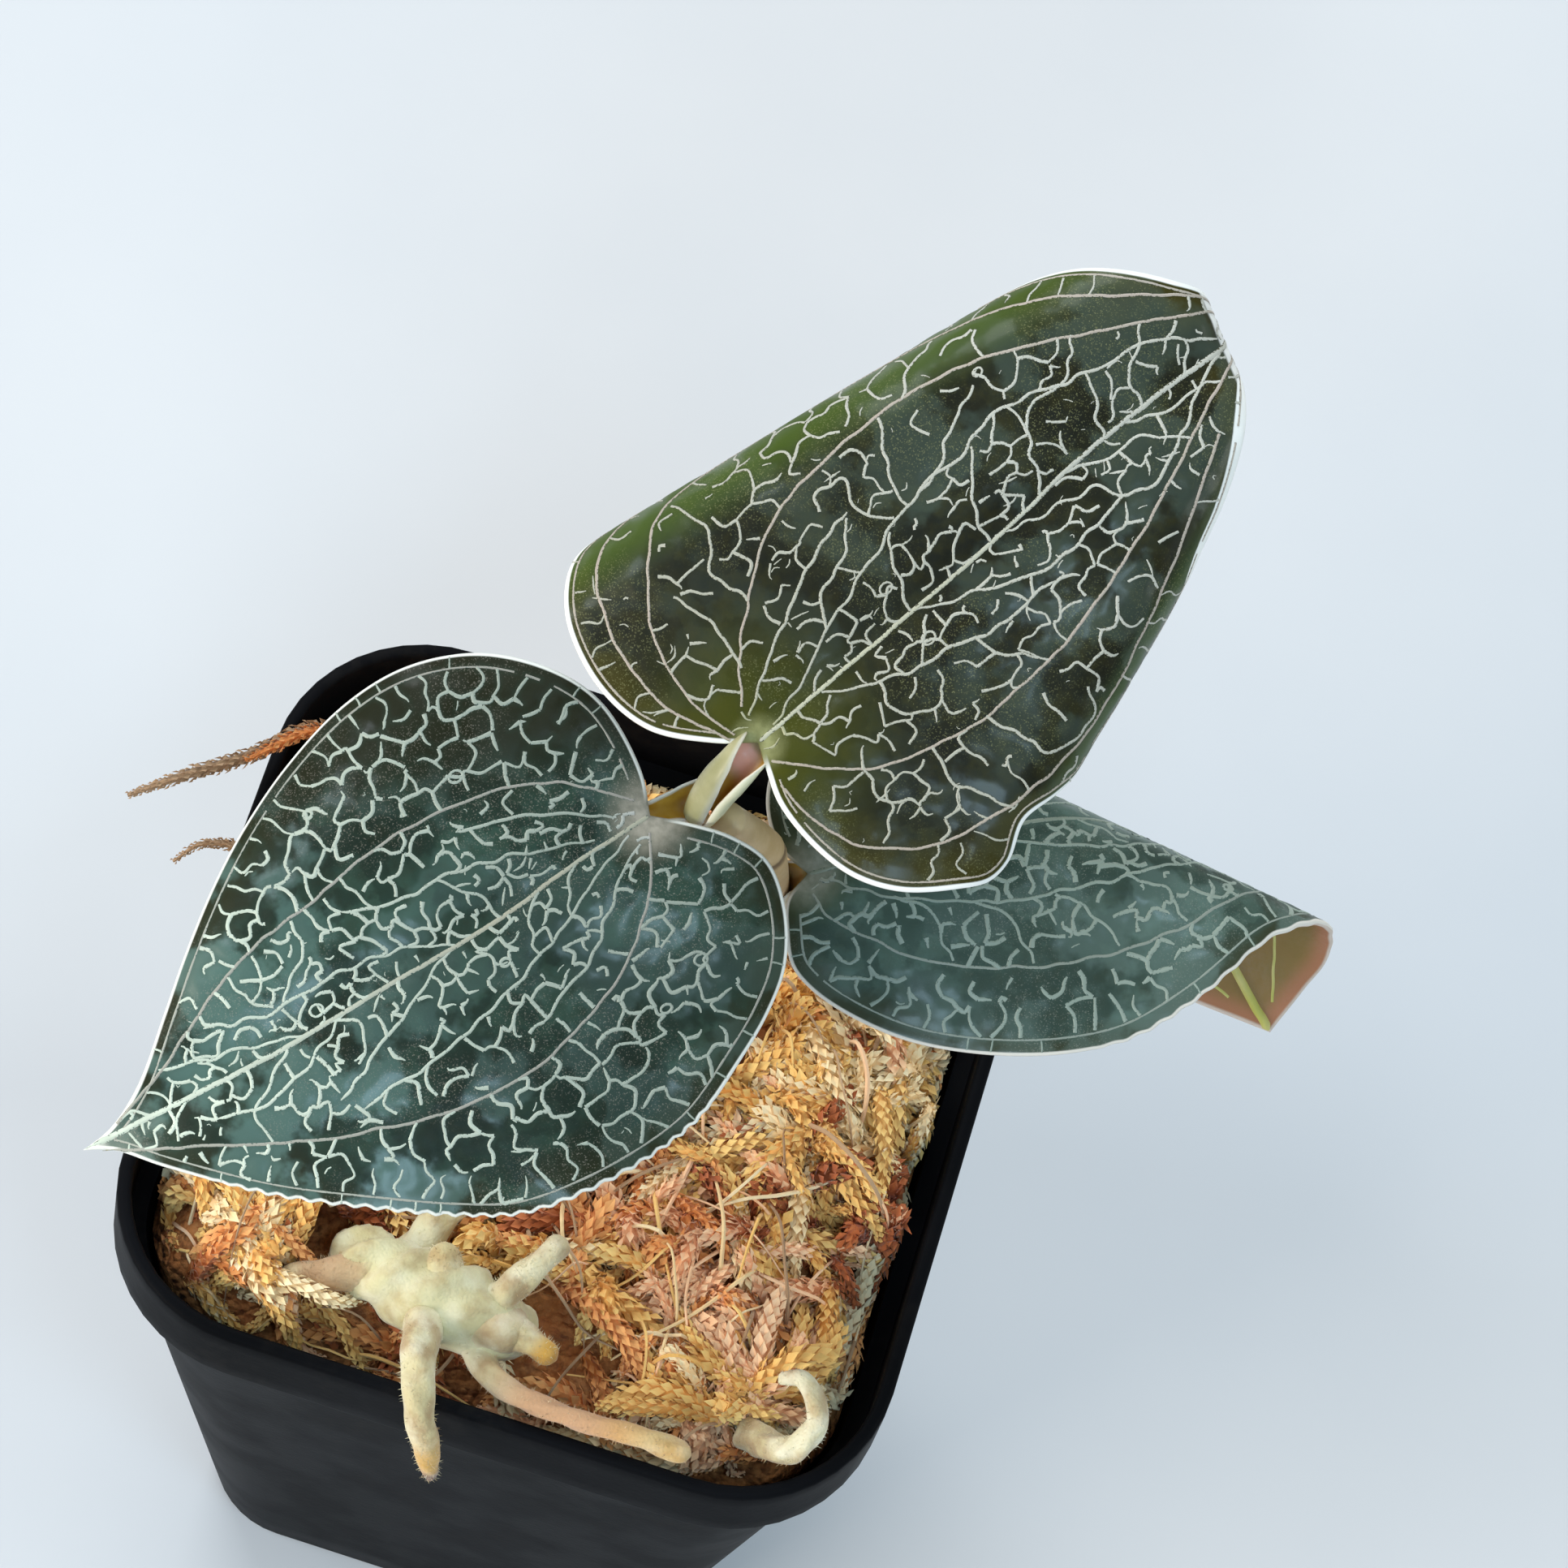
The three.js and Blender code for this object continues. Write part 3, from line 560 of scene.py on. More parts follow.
LEAVES = {
    "leaf_1": dict(
        hub=(0.2, -0.4, 47.9), heading=228.4, dome=2.2, keel=0.5, wave=0.5, tip=(48.7, 0.1),
        left=[(-2.3, 2), (-4.4, 4.3), (-5.75, 7.2), (-5.1, 10.9), (-3, 14.5), (-0.1, 16.9),
              (3.5, 18.9), (8.2, 21), (12.6, 21.6), (18, 21.4), (22.9, 20.4), (27.1, 18.1),
              (32.4, 14.3), (38.1, 9.9), (43.9, 4.2), (46.6, 1.3)],
        right=[(-1.1, -3.1), (-1.2, -8.7), (0.4, -12.4), (4.4, -16.4), (10.1, -18.6),
               (15.7, -18.6), (21.3, -17), (26, -14.7), (30, -12.1), (34.6, -8.5), (38, -5.6),
               (42.5, -2), (46, -0.3)],
        rolls=[dict(at=(10, -13), heading=20, side=-1, radius=14, most=50)],
    ),
    "leaf_2": dict(
        hub=(6.1, 5, 53.9), heading=58.4, dome=2, keel=0.6, wave=0.5, tip=(51, 0.2),
        left=[(-2.5, 2.1), (-5.5, 5.9), (-6.3, 10.4), (-5.2, 15.3), (-3, 18.4), (0, 21), (5, 23),
              (12, 23.4), (20, 22), (28, 19.3), (35, 15.6), (39.5, 12.3), (43.5, 8), (46, 4.6),
              (48.4, 2.2)],
        right=[(-0.9, -2), (-1.75, -4.3), (-1.9, -8.1), (-1.1, -11.9), (0.9, -15), (4.3, -17.6),
               (6.4, -18.7), (8.4, -18.6), (11.2, -16.9), (14.2, -17.4), (16.9, -18.0), (19.5, -17.2),
               (23, -16.9), (27, -15.8), (31.2, -13.4), (34, -11.1), (37, -9.4), (40.4, -6.9),
               (44.6, -3.2), (48.2, -1.3)],
        rolls=[dict(at=(2.7, 14.1), heading=-9.4, side=1, radius=4.4, most=130),
               dict(at=(15.9, -12.8), heading=19.6, side=-1, radius=3.7, most=130),
               dict(at=(42.8, 0), heading=72, side=-1, radius=1.9, most=110)],
    ),
    "leaf_3": dict(
        hub=(12.6, 5.6, 34.2), heading=29.5, dome=1.6, keel=0.5, wave=0.6, tip=(47.1, -0.1),
        left=[(-1.8, 2.5), (-2, 6), (0, 10), (4, 13.5), (10, 16), (17, 16.5), (24, 15), (31, 12),
              (37, 8), (42.2, 3.9), (45.5, 1.2)],
        right=[(-1.9, -1.6), (-2.5, -4), (-2.6, -6.5), (-1.7, -8.4), (0.6, -10.9), (5, -14),
               (10.8, -16.2), (16.9, -17.3), (21.9, -17.1), (27.3, -15.1), (33, -12),
               (36.5, -11), (40.9, -9.3), (44.2, -6.6), (45.4, -4)],
        rolls=[dict(at=(18.8, -3.6), heading=-36.3, side=1, radius=4.8, most=180)],
    ),
}


for name, leaf in LEAVES.items():
    print(f"{name}: {leaf['tip'][0]} mm from the petiole to the tip, {len(leaf['rolls'])} rolls")


# %% From the flat leaf to its place
def bent(leaf, flat):
    """Where points of the flat leaf come to lie, in millimetres from the rim."""
    u, v = flat[:, 0], flat[:, 1]
    middle = leaf["tip"][0] * DOME_MIDDLE
    rise = -leaf["dome"] * ((u - middle) ** 2 + v ** 2 - middle ** 2) / DOME_REACH ** 2
    rise = rise - leaf["keel"] * np.exp(-((v / KEEL_REACH) ** 2))
    phase = 2 * math.pi * u / WAVE_LENGTH + np.where(v > 0, 0, 2)
    rise = rise + leaf["wave"] * np.sin(phase) * (np.abs(v) / DOME_REACH) ** 3
    along, left = u.copy(), v.copy()
    for roll in leaf["rolls"]:
        heading = math.radians(roll["heading"])
        across = (-math.sin(heading) * roll["side"], math.cos(heading) * roll["side"])
        past = (u - roll["at"][0]) * across[0] + (v - roll["at"][1]) * across[1]
        past = np.maximum(past, 0)
        angle = np.minimum(past / roll["radius"], math.radians(roll["most"]))
        straight = past - angle * roll["radius"]
        kept = roll["radius"] * np.sin(angle) + straight * np.cos(angle)
        along += (kept - past) * across[0]
        left += (kept - past) * across[1]
        rise -= roll["radius"] * (1 - np.cos(angle)) + straight * np.sin(angle)
    heading = math.radians(leaf["heading"])
    forward = LEVEL * math.cos(heading) + UPHILL * math.sin(heading)
    side = np.cross(LIGHT, forward)
    place = np.array(leaf["hub"]) + (along[:, None] * forward + left[:, None] * side)
    return place + rise[:, None] * LIGHT


def on_leaf(leaf, flat, lift=0.0):
    """Points of the flat leaf in place, lifted off its middle surface towards its upper side."""
    flat = np.asarray(flat, float)
    step = 0.05
    here = bent(leaf, flat)
    du = bent(leaf, flat + [step, 0]) - here
    dv = bent(leaf, flat + [0, step]) - here
    normal = unit(np.cross(du, dv))
    return here + normal * np.broadcast_to(lift, (len(flat),))[:, None]


# %% Outline helpers
MARGIN_SPACING = 0.3


def outline_of(leaf):
    """The flat outline, anticlockwise from the notch: right margin, tip, left margin."""
    right_side = smooth_curve([(0, 0)] + leaf["right"] + [leaf["tip"]], MARGIN_SPACING)
    left_side = smooth_curve([(0, 0)] + leaf["left"] + [leaf["tip"]], MARGIN_SPACING)
    return np.vstack([right_side, left_side[::-1][1:-1]])


def turned_left(flat):
    """Flat vectors, each turned to the left by a right angle."""
    return np.stack([-flat[:, 1], flat[:, 0]], axis=1)


def inward_normals(loop):
    """Unit vectors that point into an anticlockwise loop."""
    return turned_left(unit(np.roll(loop, -1, axis=0) - np.roll(loop, 1, axis=0)))


def inside(points, loop):
    """Which points lie inside a closed loop, by counting crossings of a ray."""
    result = np.zeros(len(points), bool)
    x, y = points[:, 0], points[:, 1]
    nxt = np.roll(loop, -1, axis=0)
    for (ax, ay), (bx, by) in zip(loop, nxt):
        if ay == by:
            continue
        crosses = (ay > y) != (by > y)
        result ^= crosses & (x < (bx - ax) * (y - ay) / (by - ay) + ax)
    return result


def nearest(points, targets):
    """The distance from each flat point to the nearest target."""
    tree = KDTree(len(targets))
    for index, (u, v) in enumerate(targets):
        tree.insert((u, v, 0), index)
    tree.balance()
    return np.array([tree.find((u, v, 0))[2] for u, v in points])


for name, leaf in LEAVES.items():
    leaf["outline"] = outline_of(leaf)
    size = leaf["outline"].max(axis=0) - leaf["outline"].min(axis=0)
    print(f"{name}: {size[0]:.0f} by {size[1]:.0f} mm when flat")

# %% [markdown]
# ## The main veins
# A jewel orchid is grown for its veins: pale, glittering lines that leave the petiole together,
# arch along the blade and meet again at the tip. These are few and easy to recognise, so they
# are drawn as smooth curves on the flat leaf. The midrib is the widest.

# %% Main veins
MAIN_VEINS = {
    "leaf_1": {
        "midrib": [
            [(0.2, 0), (7.1, 0.3), (12.9, 1), (23.3, 1.1), (31.7, 1.2), (42, 0.6), (48.4, 0.1)],
        ],
        "lateral": [
            [(2.1, 0.5), (5.7, 1.9), (9, 3.6), (13.3, 5.3), (20.1, 7.1), (24.5, 7.6), (28.7, 7.9)],
            [(1.7, 1.5), (4.1, 2.8), (6.2, 4.5), (9.1, 6.9), (11.4, 7.8), (14.4, 9.1)],
            [(2.2, -1.2), (8.3, -4.8), (12.8, -6.1)],
            [(4.4, -0.5), (9.7, -2.5), (13.5, -3.5), (20.1, -4.1), (22.9, -5.3)],
            [(17, 1), (21.8, -1.2), (27.8, -1.6), (32, -1.9), (36, -3.1)],
            [(29.5, 1.2), (33.9, -0.3), (37.8, -1.2), (40.5, -2.2)],
            [(17.1, 1), (20.6, 2.3), (23.5, 3.8), (26.6, 5), (29.9, 6.5)],
            [(26.3, 1.1), (29.2, 2.6), (31.4, 3.4), (35.1, 4), (38.5, 3.1)],
        ],
        "branch": [
            [(31.4, 1.4), (33, 2.5), (35.4, 3.9), (35.8, 5), (35.8, 6.6)],
            [(39.6, 0.7), (41.5, 1.8), (41.9, 3.1)],
            [(27.5, 1.2), (25.9, 2.2), (26.3, 3.8), (27.4, 4.9)],
            [(36.2, 0.6), (36.8, -0.6), (37.7, -1.2)],
            [(13.1, 1), (13.6, -1.2), (14.6, -2.2), (15.7, -3.8)],
            [(30.7, -1.9), (32.3, -3.3), (32.5, -5.4)],
            [(26.4, -6.6), (26.9, -3.7), (28.7, -3), (29.9, -1.8)],
            [(21.8, -7.6), (21.4, -6), (20.6, -4.2)],
            [(6.5, 0.3), (8, 1.4), (8.6, 3.4)],
            [(9.8, 0.7), (11.2, 2.2), (12, 4.8)],
            [(42.6, 0.6), (44, -0.9), (45, -0.4)],
        ],
        "outer": [
            [(0.7, 1.1), (2.1, 3.8), (4.1, 6.1), (6.6, 8.1), (9.4, 9.7), (12.8, 10.9), (16.6, 11.7),
             (21.6, 11.5), (26.7, 10.4), (33.4, 7.9), (40.3, 4.4), (47.3, 0.9)],
            [(0.5, -1.6), (4.5, -5.4), (7.9, -7), (12.6, -7.9), (17.7, -8.1), (24.5, -7),
             (29.3, -6.4), (34.2, -4.9), (39.5, -2.4), (45.3, -0.3)],
        ],
    },
    "leaf_2": {
        "midrib": [
            [(0.2, 0), (6.2, 0), (13.6, 0), (22.9, 0.1), (31.1, 0.6), (38.1, 0.5), (44.7, 0),
             (50.6, 0.2)],
        ],
        "lateral": [
            [(1.7, 0.3), (6.7, 2), (11.2, 3.6), (17.6, 5.7), (20.8, 6.3), (24.9, 6.3), (28.5, 7.1),
             (33.1, 5.9), (36.5, 4.6), (39.9, 4.1), (42.6, 2.3), (44.6, 0.8)],
            [(0.8, 2), (3.5, 3.6), (7.2, 5.4), (11.2, 7.4), (15.7, 8.5)],
            [(5.9, -0.2), (8.3, -1.7), (11.6, -3.2), (15.1, -4), (19.4, -4.9), (23.9, -5)],
            [(22.7, 0.3), (25.4, -0.6), (28.2, -1.3), (30.6, -2), (32.2, -3.8), (34.2, -4.5),
             (37.1, -3.1), (39.2, -2.3), (41.8, -0.9), (44.2, -0.1)],
            [(14.4, 0.1), (17.4, -1.2), (19.6, -2.2), (22.5, -3.4), (24.9, -4.1), (28.7, -3.8),
             (31.9, -3.5)],
        ],
        "branch": [
            [(27, 0.3), (28, 2.6), (29.1, 4.1), (31.3, 5.9), (33.2, 5.6), (35.6, 6.8), (36.4, 7.8)],
            [(22.2, 0.2), (23, 3.6), (24.1, 4.4), (25.6, 6.3)],
            [(14.6, 0.1), (15.6, 3), (17.1, 5.4)],
            [(37, 0.6), (37.8, 2.8), (39.2, 3.8), (40.8, 5.2)],
            [(16.9, -4.3), (17.7, -7), (19.4, -8.4)],
            [(9.1, 3), (10.4, 5.2), (13.3, 6.2), (15.4, 8.2)],
            [(13.8, -9.2), (14.8, -11.9), (16.2, -14.5), (19.6, -14.4), (20.8, -12.3)],
            [(9.4, -8.4), (9.1, -10.5), (10, -12.6), (11.1, -15.6)],
            [(4.6, -6.4), (4.1, -8.8), (4.4, -10), (2.2, -11.4)],
            [(9.6, -2.3), (9, -4.2), (11, -6.3), (12.9, -6), (13.3, -4.4)],
            [(35.2, 0.5), (37.5, -0.8), (40.1, -1.2), (42.6, -1.8)],
            [(29.7, 0.5), (31.6, -0.3), (33.9, -0.9), (36.1, -1.6), (38.3, -3.6)],
            [(21.8, 12.2), (20.3, 9), (19.4, 7.6), (19.3, 6.1)],
            [(14.2, 9.8), (15.3, 11), (17, 10.5), (16.4, 8.6), (16.6, 7.2), (18, 6)],
            [(20.6, 6.3), (24.5, 7.5), (26.2, 9.1), (28.6, 9.6)],
            [(33.4, 0.5), (34.6, 2.6), (35.4, 5)],
            [(41, 0.4), (42.2, 1.6), (42.6, 2.3)],
            [(2.6, 4.9), (3.2, 8.5), (2.2, 12)],
            [(6.1, 8.3), (5.6, 11.6), (7.4, 14.6), (6.4, 17.6)],
            [(24, 12.1), (26.4, 14), (28.8, 15)],
        ],
        "outer": [
            [(0.8, 2.8), (3, 5.5), (6.1, 8.3), (10.2, 11), (13.4, 12.1), (16.3, 12.3), (23.2, 12.3),
             (26.7, 11.6), (30.2, 10.7), (35, 8.4), (40.9, 5.2), (45, 2.9), (49.5, 0.9)],
            [(-0.1, -1.7), (2.7, -4.7), (5.6, -7), (10.1, -8.6), (13.7, -9.2), (17.2, -9.2),
             (21, -9), (26.1, -7.9), (31.1, -6.4), (36.3, -4.4), (42.4, -1.9), (48.5, -0.4)],
            [(-0.9, 1.6), (-1.5, 4), (-1.7, 6.5), (-0.9, 10.2), (0.3, 12.5), (2, 14.5), (5.1, 17.5),
             (12, 19.2), (20, 18.2), (28, 15.7), (35, 12.2), (41, 7.8), (46.5, 3.1)],
            [(-1.4, 1.5), (-2.2, 3.4), (-3.4, 6.5), (-3.5, 10.3), (-2.4, 14.4), (-0.6, 17.4), (3, 20),
             (7.5, 21.3)],
            [(-0.7, -3.4), (-0.4, -7.3), (0.9, -10.6), (4.7, -13.8), (8.2, -14.9), (13.2, -15.3),
             (19, -15), (26, -12.4), (33, -8.6), (40, -4.6)],
        ],
    },
    "leaf_3": {
        "midrib": [[(0.2, 0), (8, 0.4), (17, 0.5), (26, 0.3), (36, 0.1), (46.8, -0.1)]],
        "lateral": [
            [(1.5, 0.8), (6, 2.8), (12, 4), (18, 4.2), (25, 3.8), (32, 2.8)],
            [(1.5, -0.8), (6, -3), (12, -4.6), (18, -5.2), (25, -4.8), (32, -3.5), (40, -1.6)],
            [(12, 0.4), (16, 1.8), (21, 2.2), (27, 1.6)],
            [(14, 0.4), (18, -1.4), (23, -2.4), (29, -2)],
        ],
        "branch": [
            [(6, -3), (8.5, -4.6), (9.5, -8.6)], [(12, -4.6), (14.5, -6.6), (15.4, -10)],
            [(18, -5.2), (20.5, -7), (22, -10)], [(23.6, -4.9), (26, -6.2), (27.4, -9.2)],
            [(30, -3.8), (32.5, -5), (34, -7)], [(21, 0.4), (23, -0.8), (24.6, -2.2)],
            [(29, 0.3), (31.5, -0.8), (34, -2.8)], [(35, 0.1), (37, -0.9), (39, -1.8)],
        ],
        "outer": [
            [(0.1, -1.6), (1, -3.5), (4, -6), (8.3, -8.5), (14.3, -10.1), (20.6, -10.5), (26, -9.8),
             (32, -7.9), (38.5, -5), (45, -1.4)],
            [(0.5, 2), (4, 5.5), (9, 8), (15, 9), (22, 8.5), (29, 6.5), (36, 4.2), (43, 1.5)],
        ],
    },
}
print("drawn:", {name: sum(map(len, kinds.values())) for name, kinds in MAIN_VEINS.items()})

# %% Widths and waves of the veins
# Width at the petiole, in the middle and at the tip, in millimetres.
VEIN_WIDTHS = {
    "midrib": (0.44, 0.46, 0.62), "lateral": (0.24, 0.34, 0.32), "outer": (0.26, 0.31, 0.30),
    "branch": (0.34, 0.31, 0.27), "net": (0.31, 0.29, 0.29), "submargin": (0.19, 0.21, 0.22),
    "rung": (0.26, 0.24, 0.2),
}
# The number by which the finish of the veins tells the kinds apart.
RANKS = {
    "net": 0.0, "rung": 0.0, "branch": 0.2, "lateral": 0.3, "submargin": 0.5, "outer": 0.6,
    "midrib": 1.0,
}
VEIN_SPACING = 0.2


def vein(kind, path, free_start=False, free_end=False, scale=1.0):
    """A vein: its path, the width at each point, and its kind. Free ends taper."""
    share = np.linspace(0, 1, len(path))
    width = spread_over(share, VEIN_WIDTHS[kind]) * scale
    along = distance_along(path)
    if free_start:
        width = width * np.clip(0.4 + along, 0, 1)
    if free_end:
        width = width * np.clip(0.4 + (along[-1] - along), 0, 1)
    return dict(kind=kind, path=path, width=width)


def wavy(rng, path, depth):
    """The path swung a little to both sides; its ends stay where they are."""
    along = distance_along(path)
    knots = np.arange(0, along[-1] + 1.2, 0.8)
    swing = np.interp(along, knots, rng.normal(0, depth, len(knots)))
    smooth = np.convolve(np.pad(swing, 2, mode="edge"), np.ones(5) / 5, mode="valid")
    smooth = smooth * np.clip(np.minimum(along, along[-1] - along), 0, 1)
    return path + turned_left(unit(np.gradient(path, axis=0))) * smooth[:, None]


def kept_inside(item, leaf):
    """A vein made narrower where the margin is near, so that it never overhangs."""
    room = 2 * (nearest(item["path"], leaf["outline"]) - 0.1)
    item["width"] = np.clip(item["width"], 0.06, np.maximum(room, 0.06))
    return item


WAVE_DEPTH = {"midrib": 0.03, "outer": 0.07, "lateral": 0.15, "branch": 0.24}
vein_rng = np.random.default_rng(5)
for name, leaf in LEAVES.items():
    leaf["mains"] = []
    for kind, curves in MAIN_VEINS[name].items():
        for points in curves:
            path = wavy(vein_rng, smooth_curve(points, VEIN_SPACING), WAVE_DEPTH[kind])
            leaf["mains"].append(kept_inside(vein(kind, path, free_end=kind == "lateral"), leaf))
    print(name, "has", len(leaf["mains"]), "main veins")

# %% [markdown]
# ## The net between the main veins
# Between the main veins runs a fine net of crooked cells, with small loops, blind ends and
# loose dashes. Drawing it by hand would take days. Cells that grow until they touch make just
# such a net, which is a Voronoi diagram: scattered cell centres are joined into triangles, and
# the centres of the circles round neighbouring triangles are the corners of the cells. A line
# between two cells is cut where it meets a main vein, which gives the T-shaped joints of a real
# leaf. Then each line is bent, and some are broken off short. The seed fixes the result.

# %% Cells of the net
# Cell size in mm, stretch along the leaf, shares of the lines that are missing and broken off,
# dashes a cell, how crooked the lines are, and how many small loops there are. submargin is how
# far in the vein along the margin runs, and outward the share of rungs from it to the edge.
NETS = {
    "leaf_1": dict(
        seed=7, cell=2.1, stretch=1.1, missing=0.05, broken=0.24, dashes=0.12, crook=0.66,
        loops=6, submargin=(1.15, 1.0, 0.8), width=1.2, outward=0.3),
    "leaf_2": dict(
        seed=12, cell=2.6, stretch=1.35, missing=0.06, broken=0.2, dashes=0.3, crook=0.6,
        loops=4, submargin=(0.8, 0.75, 0.7), width=0.95, outward=0.08),
    "leaf_3": dict(
        seed=3, cell=2.1, stretch=1.1, missing=0.05, broken=0.24, dashes=0.1, crook=0.62,
        loops=5, submargin=(1.2, 1.3, 1.0), width=1.5, outward=0.2),
}
SCATTER_TRIES = 9000


def first_crossing(starts, ends, walls):
    """For each segment, the share of its length at which it first meets a wall, or 1."""
    a = np.vstack([wall[:-1] for wall in walls])
    b = np.vstack([wall[1:] for wall in walls])
    run, wall_run = (ends - starts)[:, None], (b - a)[None]
    gap = a[None] - starts[:, None]
    cross = run[..., 0] * wall_run[..., 1] - run[..., 1] * wall_run[..., 0]
    cross = np.where(np.abs(cross) < 1e-9, 1e-9, cross)
    share = (gap[..., 0] * wall_run[..., 1] - gap[..., 1] * wall_run[..., 0]) / cross
    on_wall = (gap[..., 0] * run[..., 1] - gap[..., 1] * run[..., 0]) / cross
    hit = (share > 1e-6) & (share < 1) & (on_wall >= 0) & (on_wall <= 1)
    return np.where(hit, share, 1.0).min(axis=1)


def scattered(rng, loop, spacing, fixed):
    """Points inside a loop that keep their distance, closer by the midrib than far from it."""
    low, high = loop.min(axis=0), loop.max(axis=0)
    tries = low + rng.random((SCATTER_TRIES, 2)) * (high - low)
    tries = tries[inside(tries, loop)]
    kept = [tuple(point) for point in fixed]
    fixed_count = len(kept)
    for point in tries:
        known = np.array(kept)
        local = spacing * np.interp(abs(point[1]), [0, 4, 12], [0.62, 0.84, 1.18])
        local *= rng.uniform(0.6, 1.05)
        if ((known - point) ** 2).sum(axis=1).min() > local ** 2:
            kept.append(tuple(point))
    return np.array(kept[fixed_count:])


def cell_borders(sites, stretch):
    """The borders between neighbouring cells: the two sites, and the border's two ends."""
    squeezed = [Vector(site) for site in sites / [stretch, 1]]
    points, _, triangles, origins, _, _ = delaunay_2d_cdt(squeezed, [], [], 0, 1e-7)
    site_of = [origin[0] if origin else -1 for origin in origins]
    centres, by_edge = [], {}
    for index, (a, b, c) in enumerate(triangles):
        pa, pb, pc = points[a], points[b], points[c]
        d = 2 * (pa.x * (pb.y - pc.y) + pb.x * (pc.y - pa.y) + pc.x * (pa.y - pb.y))
        if abs(d) < 1e-9:
            centres.append(None)
            continue
        la, lb, lc = pa.length_squared, pb.length_squared, pc.length_squared
        x = (la * (pb.y - pc.y) + lb * (pc.y - pa.y) + lc * (pa.y - pb.y)) / d
        y = (la * (pc.x - pb.x) + lb * (pa.x - pc.x) + lc * (pb.x - pa.x)) / d
        centres.append((x * stretch, y))
        for p, q in ((a, b), (b, c), (c, a)):
            by_edge.setdefault((min(p, q), max(p, q)), []).append(index)
    borders = []
    for (p, q), sides in by_edge.items():
        if len(sides) == 2 and centres[sides[0]] and centres[sides[1]]:
            borders.append((site_of[p], site_of[q], centres[sides[0]], centres[sides[1]]))
    return borders


def cut_borders(rng, leaf, net, border_loop):
    """The borders of a leaf's cells, cut off at the main veins and at the border loop.

    Returns their two ends, how many of the two cells are in the outer row, and all cells."""
    walls = [main["path"][::3] for main in leaf["mains"]]
    loop_wall = np.vstack([border_loop, border_loop[:1]])
    inward = inward_normals(border_loop) * (net["cell"] * 0.62)
    row = evenly(border_loop + inward, net["cell"] * 0.88)
    ghosts = evenly(border_loop - inward, net["cell"] * 0.88)
    row = row + rng.normal(0, 0.25, row.shape)
    sites = np.vstack([row, scattered(rng, border_loop, net["cell"], row)])
    real = len(sites)
    borders = [item for item in cell_borders(np.vstack([sites, ghosts]), net["stretch"])
               if 0 <= item[0] < real and 0 <= item[1] < real]
    first = sites[[item[0] for item in borders]]
    second = sites[[item[1] for item in borders]]
    joined = first_crossing(first, second, walls) >= 1
    borders = [item for item, keep in zip(borders, joined) if keep]
    middles = np.array([(sites[a] + sites[b]) / 2 for a, b, _, _ in borders])
    ends_a = np.array([p for _, _, p, _ in borders])
    ends_b = np.array([q for _, _, _, q in borders])
    run = ends_b - ends_a
    share = ((middles - ends_a) * run).sum(axis=1) / np.maximum((run ** 2).sum(axis=1), 1e-9)
    start = ends_a + run * np.clip(share, 0.02, 0.98)[:, None]
    to_a = first_crossing(start, ends_a, walls + [loop_wall])
    to_b = first_crossing(start, ends_b, walls + [loop_wall])
    ends_a = start + (ends_a - start) * to_a[:, None]
    ends_b = start + (ends_b - start) * to_b[:, None]
    in_row = [(a < len(row)) + (b < len(row)) for a, b, _, _ in borders]
    return ends_a, ends_b, in_row, sites


print("cell sizes in mm:", {name: net["cell"] for name, net in NETS.items()})


# %% Lines of the net
def crooked(rng, start, end, crook):
    """A wavy line between two points."""
    length = np.linalg.norm(end - start)
    count = max(2, round(length / 0.75))
    share = np.linspace(0, 1, count + 1)
    across = np.array([start[1] - end[1], end[0] - start[0]]) / max(length, 1e-6)
    bow = rng.normal(0, crook * 0.25) * length * np.sin(np.pi * share)
    kinks = rng.normal(0, crook * 0.3, count + 1)
    kinks[[0, -1]] = 0
    points = start + (end - start) * share[:, None] + across * (bow + kinks)[:, None]
    return smooth_curve(points, VEIN_SPACING)


def submargin_paths(rng, leaf, depths):
    """The thin vein just inside the margin, broken into long pieces."""
    loop = leaf["outline"]
    near = leaf["tip"][0]
    depth = np.interp(loop[:, 0], [0, near / 2, near], depths)
    path = loop + inward_normals(loop) * depth[:, None]
    clear = nearest(path, loop) > depth * 0.93
    away_from_notch = np.linalg.norm(path, axis=1) > 3.0
    kept = clear & away_from_notch & (path[:, 0] < near - 1.5)
    pieces, until = [[]], 0
    for index, point in enumerate(path):
        if kept[index] and index > until:
            pieces[-1].append(point)
            if rng.random() < 0.012:
                until = index + rng.integers(1, 4)
                pieces.append([])
        elif pieces[-1]:
            pieces.append([])
    lines = [evenly(np.array(piece), VEIN_SPACING) for piece in pieces if len(piece) > 3]
    return lines, path[clear]


def cell_lines(rng, net, ends_a, ends_b, in_row, border_loop):
    """The bent lines between the cells. Those between two cells of the outer row are rungs."""
    veins = []
    edge_a, edge_b = nearest(ends_a, border_loop), nearest(ends_b, border_loop)
    for index, (a, b) in enumerate(zip(ends_a, ends_b)):
        is_rung = in_row[index] == 2
        length = np.linalg.norm(b - a)
        fate = rng.random()
        missing = 0.05 if is_rung else net["missing"] + (0.25 if in_row[index] == 1 else 0)
        if length < 0.35 or length > 6 or fate < missing:
            continue
        if edge_b[index] < edge_a[index]:
            a, b = b, a
        path = crooked(rng, a, b, net["crook"])
        scale = net["width"] * rng.uniform(0.88, 1.12)
        broken = fate < missing + net["broken"] and len(path) > 4
        if broken:
            kept = max(3, round(len(path) * rng.uniform(0.5, 0.85)))
            path = path[:kept] if is_rung or rng.random() < 0.5 else path[::-1][:kept]
        veins.append(vein("rung" if is_rung else "net", path, free_end=broken, scale=scale))
    return veins


